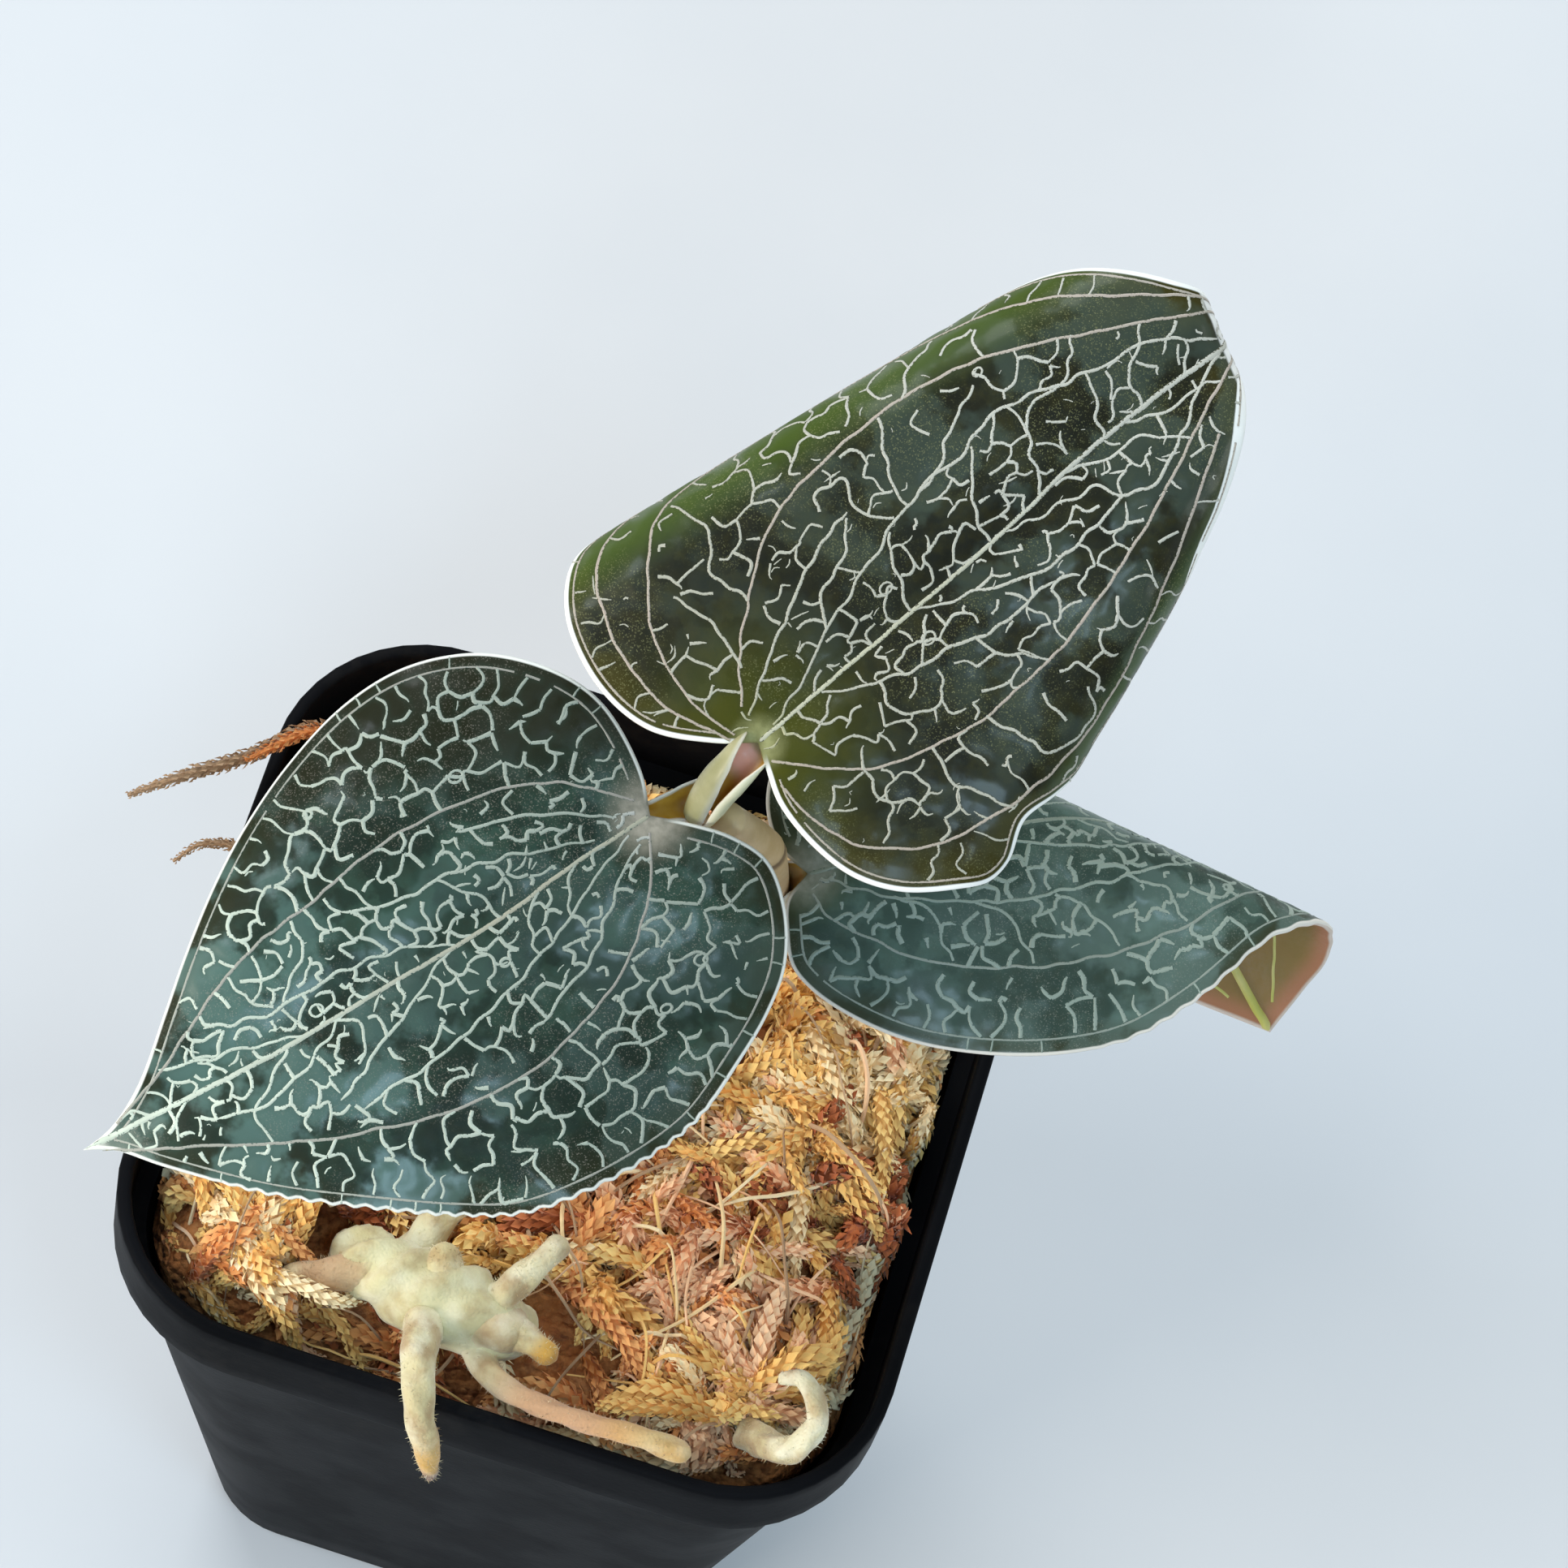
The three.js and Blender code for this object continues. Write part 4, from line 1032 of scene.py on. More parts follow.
def small_loops(rng, leaf, net, ends):
    """Closed loops that hang on corners of the net."""
    veins = []
    turn = np.linspace(0, 2 * np.pi, 15)
    for index in rng.choice(len(ends), min(net["loops"], len(ends)), replace=False):
        radius = rng.uniform(0.32, 0.55)
        heading = rng.uniform(0, 2 * np.pi)
        centre = ends[index] + radius * np.array([math.cos(heading), math.sin(heading)])
        squash = rng.uniform(0.6, 1.0)
        ring = centre + radius * np.stack([np.cos(turn), squash * np.sin(turn)], axis=1)
        if nearest(ring, leaf["outline"]).min() > 0.8:
            veins.append(vein("net", ring, scale=net["width"] * 0.8))
    return veins


def loose_dashes(rng, net, sites):
    """Short dashes that lie free inside the cells."""
    veins = []
    for site in sites:
        for _ in range(rng.poisson(net["dashes"])):
            heading = rng.normal(0, 0.8)
            length = rng.choice([0.3, 0.7, 1.4], p=[0.35, 0.4, 0.25])
            middle = site + rng.normal(0, net["cell"] * 0.2, 2)
            half = 0.5 * length * np.array([math.cos(heading), math.sin(heading)])
            dash = crooked(rng, middle - half, middle + half, 0.3)
            veins.append(vein("net", dash, True, True, 0.78 * net["width"]))
    return veins


def outward_rungs(rng, leaf, net, lines):
    """Short rungs from the vein along the margin towards the edge."""
    veins = []
    for line in lines:
        for index in range(6, len(line) - 6, 9):
            if rng.random() < net["outward"]:
                foot = line[index]
                toward = leaf["outline"][np.argmin(((leaf["outline"] - foot) ** 2).sum(axis=1))]
                reach = foot + (toward - foot) * 0.78
                veins.append(vein("rung", crooked(rng, foot, reach, 0.12), scale=0.8))
    return veins


# %% The whole net
def uneven(rng, item):
    """The same vein with a width that swells and thins along it."""
    count = max(2, len(item["path"]) // 4 + 1)
    swell = rng.uniform(0.78, 1.22, count)
    share = np.linspace(0, 1, len(item["path"]))
    item["width"] = item["width"] * spread_over(share, swell)
    return item


def vein_net(leaf, net):
    """All fine veins of a leaf."""
    rng = np.random.default_rng(net["seed"])
    lines, border_loop = submargin_paths(rng, leaf, net["submargin"])
    ends_a, ends_b, in_row, sites = cut_borders(rng, leaf, net, border_loop)
    veins = [vein("submargin", line) for line in lines]
    veins += cell_lines(rng, net, ends_a, ends_b, in_row, border_loop)
    veins += small_loops(rng, leaf, net, ends_a)
    veins += loose_dashes(rng, net, sites)
    veins += outward_rungs(rng, leaf, net, lines)
    return [kept_inside(uneven(rng, item), leaf) for item in veins]


for name, leaf in LEAVES.items():
    leaf["net"] = vein_net(leaf, NETS[name])
    total = sum(gaps_along(item["path"]).sum() for item in leaf["net"])
    print(f"{name}: {len(leaf['net'])} fine veins, {total:.0f} mm in all")

# %% [markdown]
# ## Blades and vein ribbons
# The blade is a thin closed sheet. Rows of points follow the margin closely, so that the white
# edge stays crisp, and a triangle lattice fills the middle. A constrained Delaunay triangulation
# joins the two. Between the veins the blade swells a little, as the real one does. Each vein is
# a narrow ribbon with a low crown, laid on the blade. Every point carries numbers that the
# finishes read: how far it is from the margin, from a vein and from the petiole.

# %% Rows along the margin
LATTICE = 0.36
EDGE_ROWS = (0.0, 0.08, 0.18, 0.32, 0.5, 0.75)
SWELL, SWELL_REACH = 0.09, 0.75


def edge_rows(loop, leaf):
    """Copies of the outline that step inwards, less so near the notch and the tip."""
    normals = inward_normals(loop)
    to_corner = np.minimum(np.linalg.norm(loop, axis=1), np.linalg.norm(loop - leaf["tip"], axis=1))
    room = np.clip(to_corner / 3.0, 0.02, 1)
    return [loop + normals * (depth * room)[:, None] for depth in EDGE_ROWS], room


def rippled(loop, ripple):
    """The outline with a fine crimp along one stretch of the margin."""
    if not ripple:
        return loop
    along = distance_along(loop)
    u, v = loop[:, 0], loop[:, 1]
    on = np.clip((u - ripple["from"]) / 3, 0, 1) * np.clip((ripple["to"] - u) / 3, 0, 1)
    on = on * (v * ripple["side"] > 0)
    wave = np.sin(2 * np.pi * along / ripple["length"] + 1.3 * np.sin(along / 3.1))
    return loop + inward_normals(loop) * (ripple["depth"] * on * wave)[:, None]


print("rows along the margin, in mm from it:", EDGE_ROWS)

# %% Blade and ribbons
RIPPLES = {
    "leaf_1": {"from": 6, "to": 42, "side": 1, "length": 1.5, "depth": 0.12},
    "leaf_2": None,
    "leaf_3": {"from": 18, "to": 44, "side": -1, "length": 2.2, "depth": 0.08},
}


def filled(loop, inner_loop):
    """Points and triangles that fill the inner loop. Its own points come first."""
    low, high = loop.min(axis=0), loop.max(axis=0)
    columns = np.arange(low[0], high[0], LATTICE)
    lines = np.arange(low[1], high[1], LATTICE * 0.866)
    grid_u, grid_v = np.meshgrid(columns, lines)
    grid_u = grid_u + (np.arange(len(lines)) % 2)[:, None] * LATTICE / 2
    lattice = np.stack([grid_u.ravel(), grid_v.ravel()], axis=1)
    lattice = lattice[inside(lattice, inner_loop)]
    lattice = lattice[nearest(lattice, inner_loop) > LATTICE * 0.45]
    count = len(inner_loop)
    points = [Vector(point) for point in np.vstack([inner_loop, lattice])]
    edges = [(i, (i + 1) % count) for i in range(count)]
    made, _, triangles, _, _, _ = delaunay_2d_cdt(points, edges, [], 1, 1e-6)
    return np.array([tuple(point) for point in made]), triangles


def build_blade(name, leaf, upper, lower, slot):
    """The blade of a leaf, closed all round."""
    loop = rippled(leaf["outline"], RIPPLES[name])
    rows, room = edge_rows(loop, leaf)
    sheet, triangles = filled(loop, rows[-1])
    count = len(loop)
    flat = np.vstack(rows[:-1] + [sheet])
    paths = np.vstack([item["path"] for item in leaf["mains"] + leaf["net"]])
    to_vein = nearest(flat, paths)
    to_margin = nearest(flat, loop)
    row_count = len(rows) - 1
    for index in range(row_count):
        to_margin[index * count:(index + 1) * count] = EDGE_ROWS[index] * room
    swell = SWELL * (1 - np.exp(-((to_vein / SWELL_REACH) ** 2))) * np.clip(to_margin / 1.2, 0, 1)
    thin = np.sqrt(np.clip(1 - (1 - np.clip(to_margin / 0.25, 0, 1)) ** 2, 0, 1))
    offset = row_count * count
    faces = skin_faces(row_count + 1, count)
    faces += [tuple(index + offset for index in triangle) for triangle in triangles]
    above = on_leaf(leaf, flat, BLADE / 2 * thin + swell)
    below = on_leaf(leaf, flat, -BLADE / 2 * thin + 0.6 * swell)
    total = len(flat)
    lower_faces = []
    for face in faces:
        turned = tuple(index if index < count else index + total for index in reversed(face))
        lower_faces.append(turned)
    numbers = dict(
        edge=to_margin, vein=to_vein, u=flat[:, 0], v=flat[:, 1],
        base=np.linalg.norm(flat, axis=1), tip=np.linalg.norm(flat - leaf["tip"], axis=1))
    both = {key: np.concatenate([value, value]) for key, value in numbers.items()}
    blade = Bundle()
    blade.add(np.vstack([above, below]), faces + lower_faces, **both)
    side_of = [0] * len(faces) + [1] * len(lower_faces)
    blade.finish(name + "_blade", [upper, lower], slot, [name], face_material=side_of)


def build_ribbons(bundle, leaf, veins, face_sign=1, crown=0.05, swell=1.0):
    """Low ribbons along veins, on the upper side of a leaf or the lower one."""
    across = np.array([-1, -0.55, 0, 0.55, 1.0])
    rise = np.array([-0.03, 0.7 * crown, crown, 0.7 * crown, -0.03])
    for item in veins:
        path, width = item["path"], item["width"] * swell
        aside = turned_left(unit(np.gradient(path, axis=0)))
        spread = path[:, None] + aside[:, None] * (across[None, :, None] * width[:, None, None] / 2)
        flat = spread.reshape(-1, 2)
        lift = BLADE / 2 + rise * (width / 0.3)[:, None] ** 0.5
        points = on_leaf(leaf, flat, face_sign * lift.ravel())
        a = ((np.arange(len(path) - 1) * 5)[:, None] + np.arange(4)[None]).ravel()
        quads = np.stack([a, a + 5, a + 6, a + 1], axis=1)
        if face_sign < 0:
            quads = quads[:, ::-1]
        bundle.add(
            points, quads, u=flat[:, 0], base=np.linalg.norm(flat, axis=1),
            across=np.tile(np.abs(across), len(path)), rank=RANKS[item["kind"]])


print("ripples along a margin:", [name for name, ripple in RIPPLES.items() if ripple])

# %% [markdown]
# ## Leaf finishes
# The upper side is dark and velvety: bottle green to teal, browner towards the margins, with
# fresh olive green where the blade is young at the petiole. Its cells are tiny lenses, which
# give a satin sheen full of small glints. Part of that sheen is painted into the colour as
# lighter teal patches, and the glints as pale specks: painted sheen and painted glints. On the
# second leaf, a brighter green past its rolled edges is painted light coming through them. The
# very edge is colourless. All of this is driven by the numbers on the mesh and by noise. The
# lower side is a plain olive brown with a pink cast.

# %% A blade's upper side
WAXY = dict(Roughness=0.46, Specular_IOR_Level=0.12, Coat_Roughness=0.2, Coat_IOR=1.4)


def blade_finish(name, dark, light, brown, young, edge, haze, reaches, edge_width, wide, gloss,
                 painted_sheen, tints):
    """The upper side of a leaf. All distances are in millimetres.

    reaches: how far from the petiole it is green, and hazy.
    wide: from where to where along the right half the white edge is wider, and by how much.
    gloss: the strongest coat of the waxy patches.
    painted_sheen: the colour of the painted sheen, lighter patches that stand in for the satin
    reflection; their strength, and where along the leaf they start and have it.
    tints: colours past a line, which is given by a point on it and the direction across it,
    then how soft the line is, and how far past it the tint fades again."""
    finish, tree, shader = new_finish(name, **WAXY)
    along, aside = attribute(tree, "u"), attribute(tree, "v")
    margin, to_hub = attribute(tree, "edge"), attribute(tree, "base")

    # Patches of the ground colours, from large to small, and brown towards the margin.
    body, _ = place_mottle(tree, 7.0, dark, light, 0.16)
    _, fine = place_mottle(tree, 0.9, dark, light, 0.2)
    body = mixed(tree, multiplied(tree, fine, 0.25), body, brown)
    _, shadowy = place_mottle(tree, 2.6, dark, light, 0.12)
    body = mixed(tree, between(tree, shadowy, 0.3, 0.8, 0.0, 0.6), body, dark)
    _, wander = place_mottle(tree, 5.0, dark, light, 0.25)
    reach = between(tree, wander, 0.0, 1.0, 1.6, 5.6)
    body = mixed(tree, between(tree, margin, reach, 0.4, 0.0, 0.85), body, brown)

    # Painted sheen: lighter patches, where the wax mask is high, that stand in for the satin reflection.
    # Then tints past a line; on the second leaf two of them are painted light through its rolled edges.
    _, wax_and_painted_sheen = place_mottle(tree, 5.5, dark, light, 0.08)
    satin, sheen_strength, sheen_from, sheen_to = painted_sheen
    painted_sheen_share = between(tree, along, sheen_from, sheen_to, 0.25 * sheen_strength, sheen_strength)
    body = mixed(tree, multiplied(tree, painted_sheen_share, between(tree, wax_and_painted_sheen, 0.1, 0.95)), body, satin)
    for tint, line_u, line_v, across_u, across_v, soft, until in tints:
        du = multiplied(tree, calculated(tree, "SUBTRACT", along, line_u), across_u)
        dv = multiplied(tree, calculated(tree, "SUBTRACT", aside, line_v), across_v)
        past = calculated(tree, "ADD", du, dv)
        begun = between(tree, past, -soft, soft * 1.6, 0.0, 0.9)
        kept = between(tree, past, until * 1.5, until, 0.15, 1.0)
        body = mixed(tree, multiplied(tree, begun, kept), body, tint)

    # Young green at the petiole, a halo beside the veins, painted glints (pale specks in the haze colour
    # that stand in for tiny highlights), and the haze at the petiole.
    body = mixed(tree, between(tree, to_hub, reaches[0], 1.5, 0.0, 0.8), body, young)
    halo = between(tree, attribute(tree, "vein"), 0.5, 0.1, 0.0, 0.16)
    body = mixed(tree, halo, body, light)
    _, specks = place_grain(tree, 0.08)
    _, painted_glint_patches = place_mottle(tree, 8.0, dark, light, 0.08)
    painted_glint = multiplied(tree, between(tree, specks, 0.8, 1.0, 0.0, 0.28), painted_glint_patches)
    body = mixed(tree, painted_glint, body, haze)
    _, fuzz = place_mottle(tree, 0.7, dark, light, 0.3)
    hazy = between(tree, fuzz, 0.0, 1.0, 0.55, 0.9)
    body = mixed(tree, multiplied(tree, between(tree, to_hub, reaches[1], 0.6), hazy), body, haze)

    # The tip and the edge are white.
    body = mixed(tree, between(tree, attribute(tree, "tip"), 2.4, 0.8), body, edge)
    wide_from, wide_to, wide_by = wide
    begun = between(tree, along, wide_from, wide_from + 2.5)
    kept = between(tree, along, wide_to + 2.5, wide_to)
    on_right = between(tree, aside, -1.0, -2.5)
    widened = multiplied(tree, multiplied(tree, begun, kept), on_right)
    limits = [between(tree, widened, 0.0, 1.0, edge_width + blur, edge_width + wide_by + blur)
              for blur in (0.07, -0.07)]
    white_edge = multiplied(tree, between(tree, margin, *limits), between(tree, to_hub, 0.9, 2.6))
    tree.links.new(mixed(tree, white_edge, body, edge), shader.inputs["Base Color"])

    tree.links.new(between(tree, wander, 0.0, 1.0, 0.42, 0.54), shader.inputs["Roughness"])
    waxy = multiplied(tree, between(tree, wax_and_painted_sheen, 0.0, 1.0, 0.01, gloss), between(tree, to_hub, 2.5, 8.0))
    tree.links.new(waxy, shader.inputs["Coat Weight"])
    cells, _ = place_grain(tree, 0.16, 0.9)
    add_bump(tree, shader, cells, 0.012, 0.4)
    return finish


# %% Colours of the three upper sides
# Each upper side has a painted sheen colour: lighter patches that stand in for the satin reflection.
LEAF_2_WHITE = colour(246, 248, 244)
UPPER = {
    "leaf_1": blade_finish(
        "leaf_1_teal", dark=colour(23, 36, 28), light=colour(46, 70, 59), brown=colour(40, 42, 22),
        young=colour(50, 60, 42), edge=colour(232, 234, 226), haze=colour(172, 166, 152),
        reaches=(4.5, 4.1), edge_width=0.3, wide=(10.0, 20.0, 0.0), gloss=0.5,
        painted_sheen=(colour(106, 144, 136), 0.44, 14.0, 34.0),
        tints=[(colour(30, 32, 16), 8.0, -7.5, -0.35, -0.94, 2.5, 30.0)]),
    "leaf_2": blade_finish(
        "leaf_2_olive", dark=colour(23, 25, 17), light=colour(42, 47, 34), brown=colour(62, 57, 8),
        young=colour(68, 72, 6), edge=LEAF_2_WHITE, haze=colour(160, 162, 112),
        reaches=(12.0, 2.6), edge_width=0.42, wide=(30.0, 46.0, 0.62), gloss=0.36,
        painted_sheen=(colour(86, 106, 94), 0.28, 4.0, 26.0),
        # The first two tints are painted light: a brighter green where light comes through the rolled
        # edges at the left and the right.
        tints=[(colour(68, 88, 28), 2.95, 15.6, 0.163, 0.987, 1.8, 4.5),
               (colour(60, 82, 40), 16.8, -15.3, 0.335, -0.942, 1.0, 1.6),
               (LEAF_2_WHITE, 44.3, -0.4, 0.951, -0.309, 0.12, 2.0)]),
    "leaf_3": blade_finish(
        "leaf_3_grey_green", dark=colour(52, 70, 62), light=colour(82, 106, 96),
        brown=colour(56, 60, 40), young=colour(76, 88, 62), edge=colour(226, 222, 212),
        haze=colour(160, 164, 152), reaches=(4.5, 3.4), edge_width=0.3, wide=(10.0, 20.0, 0.0),
        gloss=0.42, painted_sheen=(colour(110, 136, 128), 0.44, 4.0, 30.0), tints=[]),
}
print("blade finishes:", [finish.name for finish in UPPER.values()])

# %% Finish of the lower side
def underside_finish(name, body_tint, blush):
    """The matt lower side of a leaf, with a blush towards the margin."""
    finish, tree, shader = new_finish(name, Roughness=0.55)
    ruddy = mixed(tree, 0.22, body_tint, blush)
    body, _ = place_mottle(tree, 5.0, body_tint, ruddy, 0.25)
    margin = attribute(tree, "edge")
    body = mixed(tree, between(tree, margin, 2.2, 0.5, 0.0, 0.6), body, blush)
    body = mixed(tree, between(tree, margin, 0.4, 0.15), body, colour(206, 190, 176))
    add_skin(tree, shader, body, 0.2, 0.7, rough=(0.48, 0.62), depth=0.02, strength=0.4)
    return finish


LOWER = {
    "leaf_1": underside_finish("leaf_1_underside", colour(104, 98, 62), colour(138, 92, 70)),
    "leaf_2": underside_finish("leaf_2_underside", colour(96, 104, 52), colour(132, 104, 66)),
    "leaf_3": underside_finish("leaf_3_underside", colour(120, 106, 42), colour(188, 118, 92)),
}
print("undersides:", [finish.name for finish in LOWER.values()])

# %% [markdown]
# ## Vein finish
# The veins look drawn with a silver pen. Close up their edges are grainy, because single cells
# stay dark between pale ones. The finish mixes the pale colour with the dark of the blade where
# a fine noise falls below a limit, and the limit rises towards the ribbon's edges. The outer
# veins carry a little pink, and the haze at the petiole makes the veins' roots greyer.

# %% Finish of the veins
def vein_finish(name, pale, pink, dull, dark, haze, rib, grainy, tip_length, haze_reach):
    """The ribbons of a leaf.

    rib: the colour of the midrib in the half towards the petiole.
    grainy: the share of dark cells at the very edge of a ribbon.
    tip_length: where along the leaf the veins are at their palest."""
    finish, tree, shader = new_finish(name, Roughness=0.42)
    along, rank = attribute(tree, "u"), attribute(tree, "rank")
    body = mixed(tree, between(tree, along, 0.0, tip_length), dull, pale)
    body = mixed(tree, between(tree, attribute(tree, "base"), haze_reach, 0.8, 0.0, 0.9), body, haze)
    outer = multiplied(tree, between(tree, rank, 0.35, 0.55), between(tree, rank, 1.0, 0.7))
    body = mixed(tree, multiplied(tree, outer, 0.75), body, pink)
    on_rib = multiplied(tree, between(tree, rank, 0.8, 1.0), between(tree, along, tip_length, 8.0))
    body = mixed(tree, on_rib, body, rib)
    _, patches = place_mottle(tree, 2.2, pale, dull, 0.25)
    body = mixed(tree, multiplied(tree, patches, 0.35), body, dull)
    cells, specks = place_grain(tree, 0.12)
    limit = between(tree, attribute(tree, "across"), 0.2, 1.0, 0.0, grainy)
    body = mixed(tree, calculated(tree, "GREATER_THAN", specks, limit), dark, body)
    tree.links.new(body, shader.inputs["Base Color"])
    tree.links.new(between(tree, patches, 0.0, 1.0, 0.36, 0.52), shader.inputs["Roughness"])
    add_bump(tree, shader, cells, 0.012, 0.4)
    return finish


VEIN_FINISHES = {
    "leaf_1": vein_finish(
        "leaf_1_vein_silver", pale=colour(208, 221, 204), pink=colour(142, 132, 124),
        dull=colour(142, 152, 140), dark=colour(68, 86, 76), haze=colour(180, 180, 174),
        rib=colour(160, 158, 138), grainy=0.35, tip_length=46.0, haze_reach=4.5),
    "leaf_2": vein_finish(
        "leaf_2_vein_white", pale=colour(190, 191, 180), pink=colour(172, 154, 141),
        dull=colour(168, 168, 152), dark=colour(76, 76, 54), haze=colour(164, 164, 114),
        rib=colour(186, 186, 160), grainy=0.6, tip_length=34.0, haze_reach=5.0),
    "leaf_3": vein_finish(
        "leaf_3_vein_grey", pale=colour(154, 168, 154), pink=colour(140, 146, 136),
        dull=colour(136, 152, 141), dark=colour(80, 100, 92), haze=colour(160, 164, 152),
        rib=colour(130, 140, 124), grainy=0.35, tip_length=40.0, haze_reach=4.0),
}
keel_finish, tree, shader = new_finish("keel_yellow_green", Roughness=0.5)
keel_tint, _ = place_mottle(tree, 3.0, colour(176, 178, 84), colour(196, 190, 120), 0.2)
tree.links.new(keel_tint, shader.inputs["Base Color"])
keel_height, _ = place_grain(tree, 0.3, 0.5)
add_bump(tree, shader, keel_height, 0.03, 0.4)
print("vein finishes:", [finish.name for finish in VEIN_FINISHES.values()])

# %% Build the three leaves
LEAF_SLOTS = {"leaf_1": "leaf_teal", "leaf_2": "leaf_olive", "leaf_3": "leaf_teal"}
KEELS = {"midrib": dict(crown=0.22, swell=1.3), "outer": dict(crown=0.06, swell=0.9)}
for name, leaf in LEAVES.items():
    build_blade(name, leaf, UPPER[name], LOWER[name], LEAF_SLOTS[name])
    ribbons = Bundle()
    build_ribbons(ribbons, leaf, leaf["mains"] + leaf["net"])
    ribbons.finish(name + "_veins", [VEIN_FINISHES[name]], LEAF_SLOTS[name])
    ribs = Bundle()
    for kind, form in KEELS.items():
        chosen = [item for item in leaf["mains"] if item["kind"] == kind]
        build_ribbons(ribs, leaf, chosen, face_sign=-1, **form)
    ribs.finish(name + "_keel", [keel_finish], LEAF_SLOTS[name])

# %% [markdown]
# ## Petioles and stem
# A jewel orchid's leaf stalk is a little trough: its base clasps the stem, its rims are thin and
# nearly white, and its inside is golden green. A round tube would miss that, so each petiole is
# lofted from a cross-section like a U with some thickness, which narrows towards the blade. The
# upper leaf's stalk rises out of the lower one's trough, and its own groove is flushed pink.

# %% Troughs
def smoothstep(value, low, high):
    """How far a value has gone from low to high, smoothly, from 0 to 1."""
    share = np.clip((value - low) / (high - low), 0, 1)
    return share * share * (3 - 2 * share)


STALK_WALL, STALK_STEPS = 0.32, 14


def trough(path, radii, gaps, opening):
    """A U-shaped stalk along its middle line. It opens towards opening, by the angles of gaps.

    Returns points, faces, where each point is from rim to rim, -1 to 1, and whether it is
    inside the trough."""
    forward, _, _ = path_frames(path)
    points, side, within = [], [], []
    share = np.linspace(0, 1, len(path))
    radius = spread_over(share, radii)
    gap = np.radians(spread_over(share, gaps))
    for centre, direction, r, open_by in zip(path, forward, radius, gap):
        over = opening - direction * (opening @ direction)
        over /= np.linalg.norm(over)
        aside = np.cross(direction, over)
        turn = np.linspace(open_by, 2 * np.pi - open_by, STALK_STEPS)
        circle = np.cos(turn)[:, None] * over + np.sin(turn)[:, None] * aside
        from_floor = np.linspace(-1, 1, STALK_STEPS)
        wall = STALK_WALL * (1 - 0.55 * from_floor ** 4)
        points += [centre + circle * r, (centre + circle * (r - wall)[:, None])[::-1]]
        side += [from_floor, from_floor[::-1]]
        within += [np.zeros(STALK_STEPS), np.ones(STALK_STEPS)]
    ring = 2 * STALK_STEPS
    faces = skin_faces(len(path), ring)
    for row, turned in ((0, True), (len(path) - 1, False)):
        for i in range(STALK_STEPS - 1):
            outer, inner = row * ring + i, row * ring + ring - 1 - i
            quad = (outer, outer + 1, inner - 1, inner)
            faces.append(quad[::-1] if turned else quad)
    return np.vstack(points), faces, np.concatenate(side), np.concatenate(within)


# %% Petiole finish
stalk_finish, tree, shader = new_finish("petiole_cream_green", Roughness=0.42)
outside, _ = place_mottle(tree, 2.5, colour(148, 146, 104), colour(170, 166, 126), 0.2)
outside = mixed(tree, attribute(tree, "cream"), outside, colour(224, 222, 184))
lining, _ = place_mottle(tree, 2.0, colour(188, 142, 40), colour(206, 166, 72), 0.2)
body = mixed(tree, attribute(tree, "within"), outside, lining)
body = mixed(tree, attribute(tree, "flush"), body, colour(236, 178, 164))
body = mixed(tree, between(tree, attribute(tree, "along"), 0.86, 1.0), body, colour(172, 172, 122))
body = mixed(tree, between(tree, attribute(tree, "rim"), 0.74, 0.95), body, colour(230, 226, 214))
add_skin(tree, shader, body, 0.35, 0.6, rough=(0.36, 0.5), depth=0.03, strength=0.4)
print(stalk_finish.name, "has", len(tree.nodes), "nodes")

# %% Petioles
# gaps are half the opening angles along the stalk; lean tips the opening sideways. The others
# say how pink its inside, how cream its outside and how white its rim is.
STALKS = {
    "leaf_1": dict(
        path=[(5.0, 4.2, 44.8), (4.0, 3.3, 45.6), (2.6, 2.4, 46.2), (1.3, 1.3, 46.6),
              (0.4, 0.5, 46.7), (-0.4, -0.2, 46.6)],
        radii=[2.3, 2.1, 1.6, 1.2, 1.0, 0.9], gaps=[70, 76, 82, 86, 90, 95],
        flush=0.0, cream=1.0, rim=1.4, lean=0.0),
    "leaf_2": dict(
        path=[(3.6, 1.9, 46.0), (3.9, 2.2, 47.8), (4.3, 2.7, 49.6), (4.85, 3.15, 51.4),
              (5.45, 4.0, 52.6), (5.95, 4.95, 53.0), (6.5, 6.3, 52.8)],
        radii=[1.3, 1.5, 1.6, 1.65, 1.6, 1.5, 1.2], gaps=[5, 5, 6, 11, 24, 62, 125],
        flush=0.9, cream=0.0, rim=0.5, lean=0.3),
    "leaf_3": dict(
        path=[(10.3, 5.0, 30.0), (10.5, 5.2, 31.4), (11.0, 5.4, 32.6), (11.8, 5.6, 33.3),
              (12.6, 5.8, 33.5)],
        radii=[2.0, 1.8, 1.5, 1.2, 0.9], gaps=[30, 45, 60, 85, 110],
        flush=0.2, cream=0.5, rim=0.7, lean=0.0),
}
stalks = Bundle()
for stalk in STALKS.values():
    path = smooth_curve(stalk["path"], 0.25)
    opening = LIGHT + stalk["lean"] * LEVEL
    points, faces, side, within = trough(path, stalk["radii"], stalk["gaps"], opening)
    along = np.repeat(np.linspace(0, 1, len(path)), len(within) // len(path))
    flush = stalk["flush"] * within * smoothstep(along, 0.35, 0.6)
    flush = flush * smoothstep(np.abs(side), 0.75, 0.25)
    cream = np.maximum(stalk["cream"], smoothstep(-side, -0.1, 0.45))
    rim = np.abs(side) * smoothstep(along, 1.0, 0.85) * (0.74 + 0.26 * stalk["rim"])
    yellow = within * (1 - flush)
    stalks.add(points, faces, rim=rim, within=yellow, flush=flush, cream=cream, along=along)
stalks.finish("petioles", [stalk_finish], "stem_green")

# %% [markdown]
# ## Stem
# The upright stem is round and fleshy, with a ring at each joint and papery sheaths that wrap
# it. It is greener at the top and brown and pinkish lower down, where it has aged.

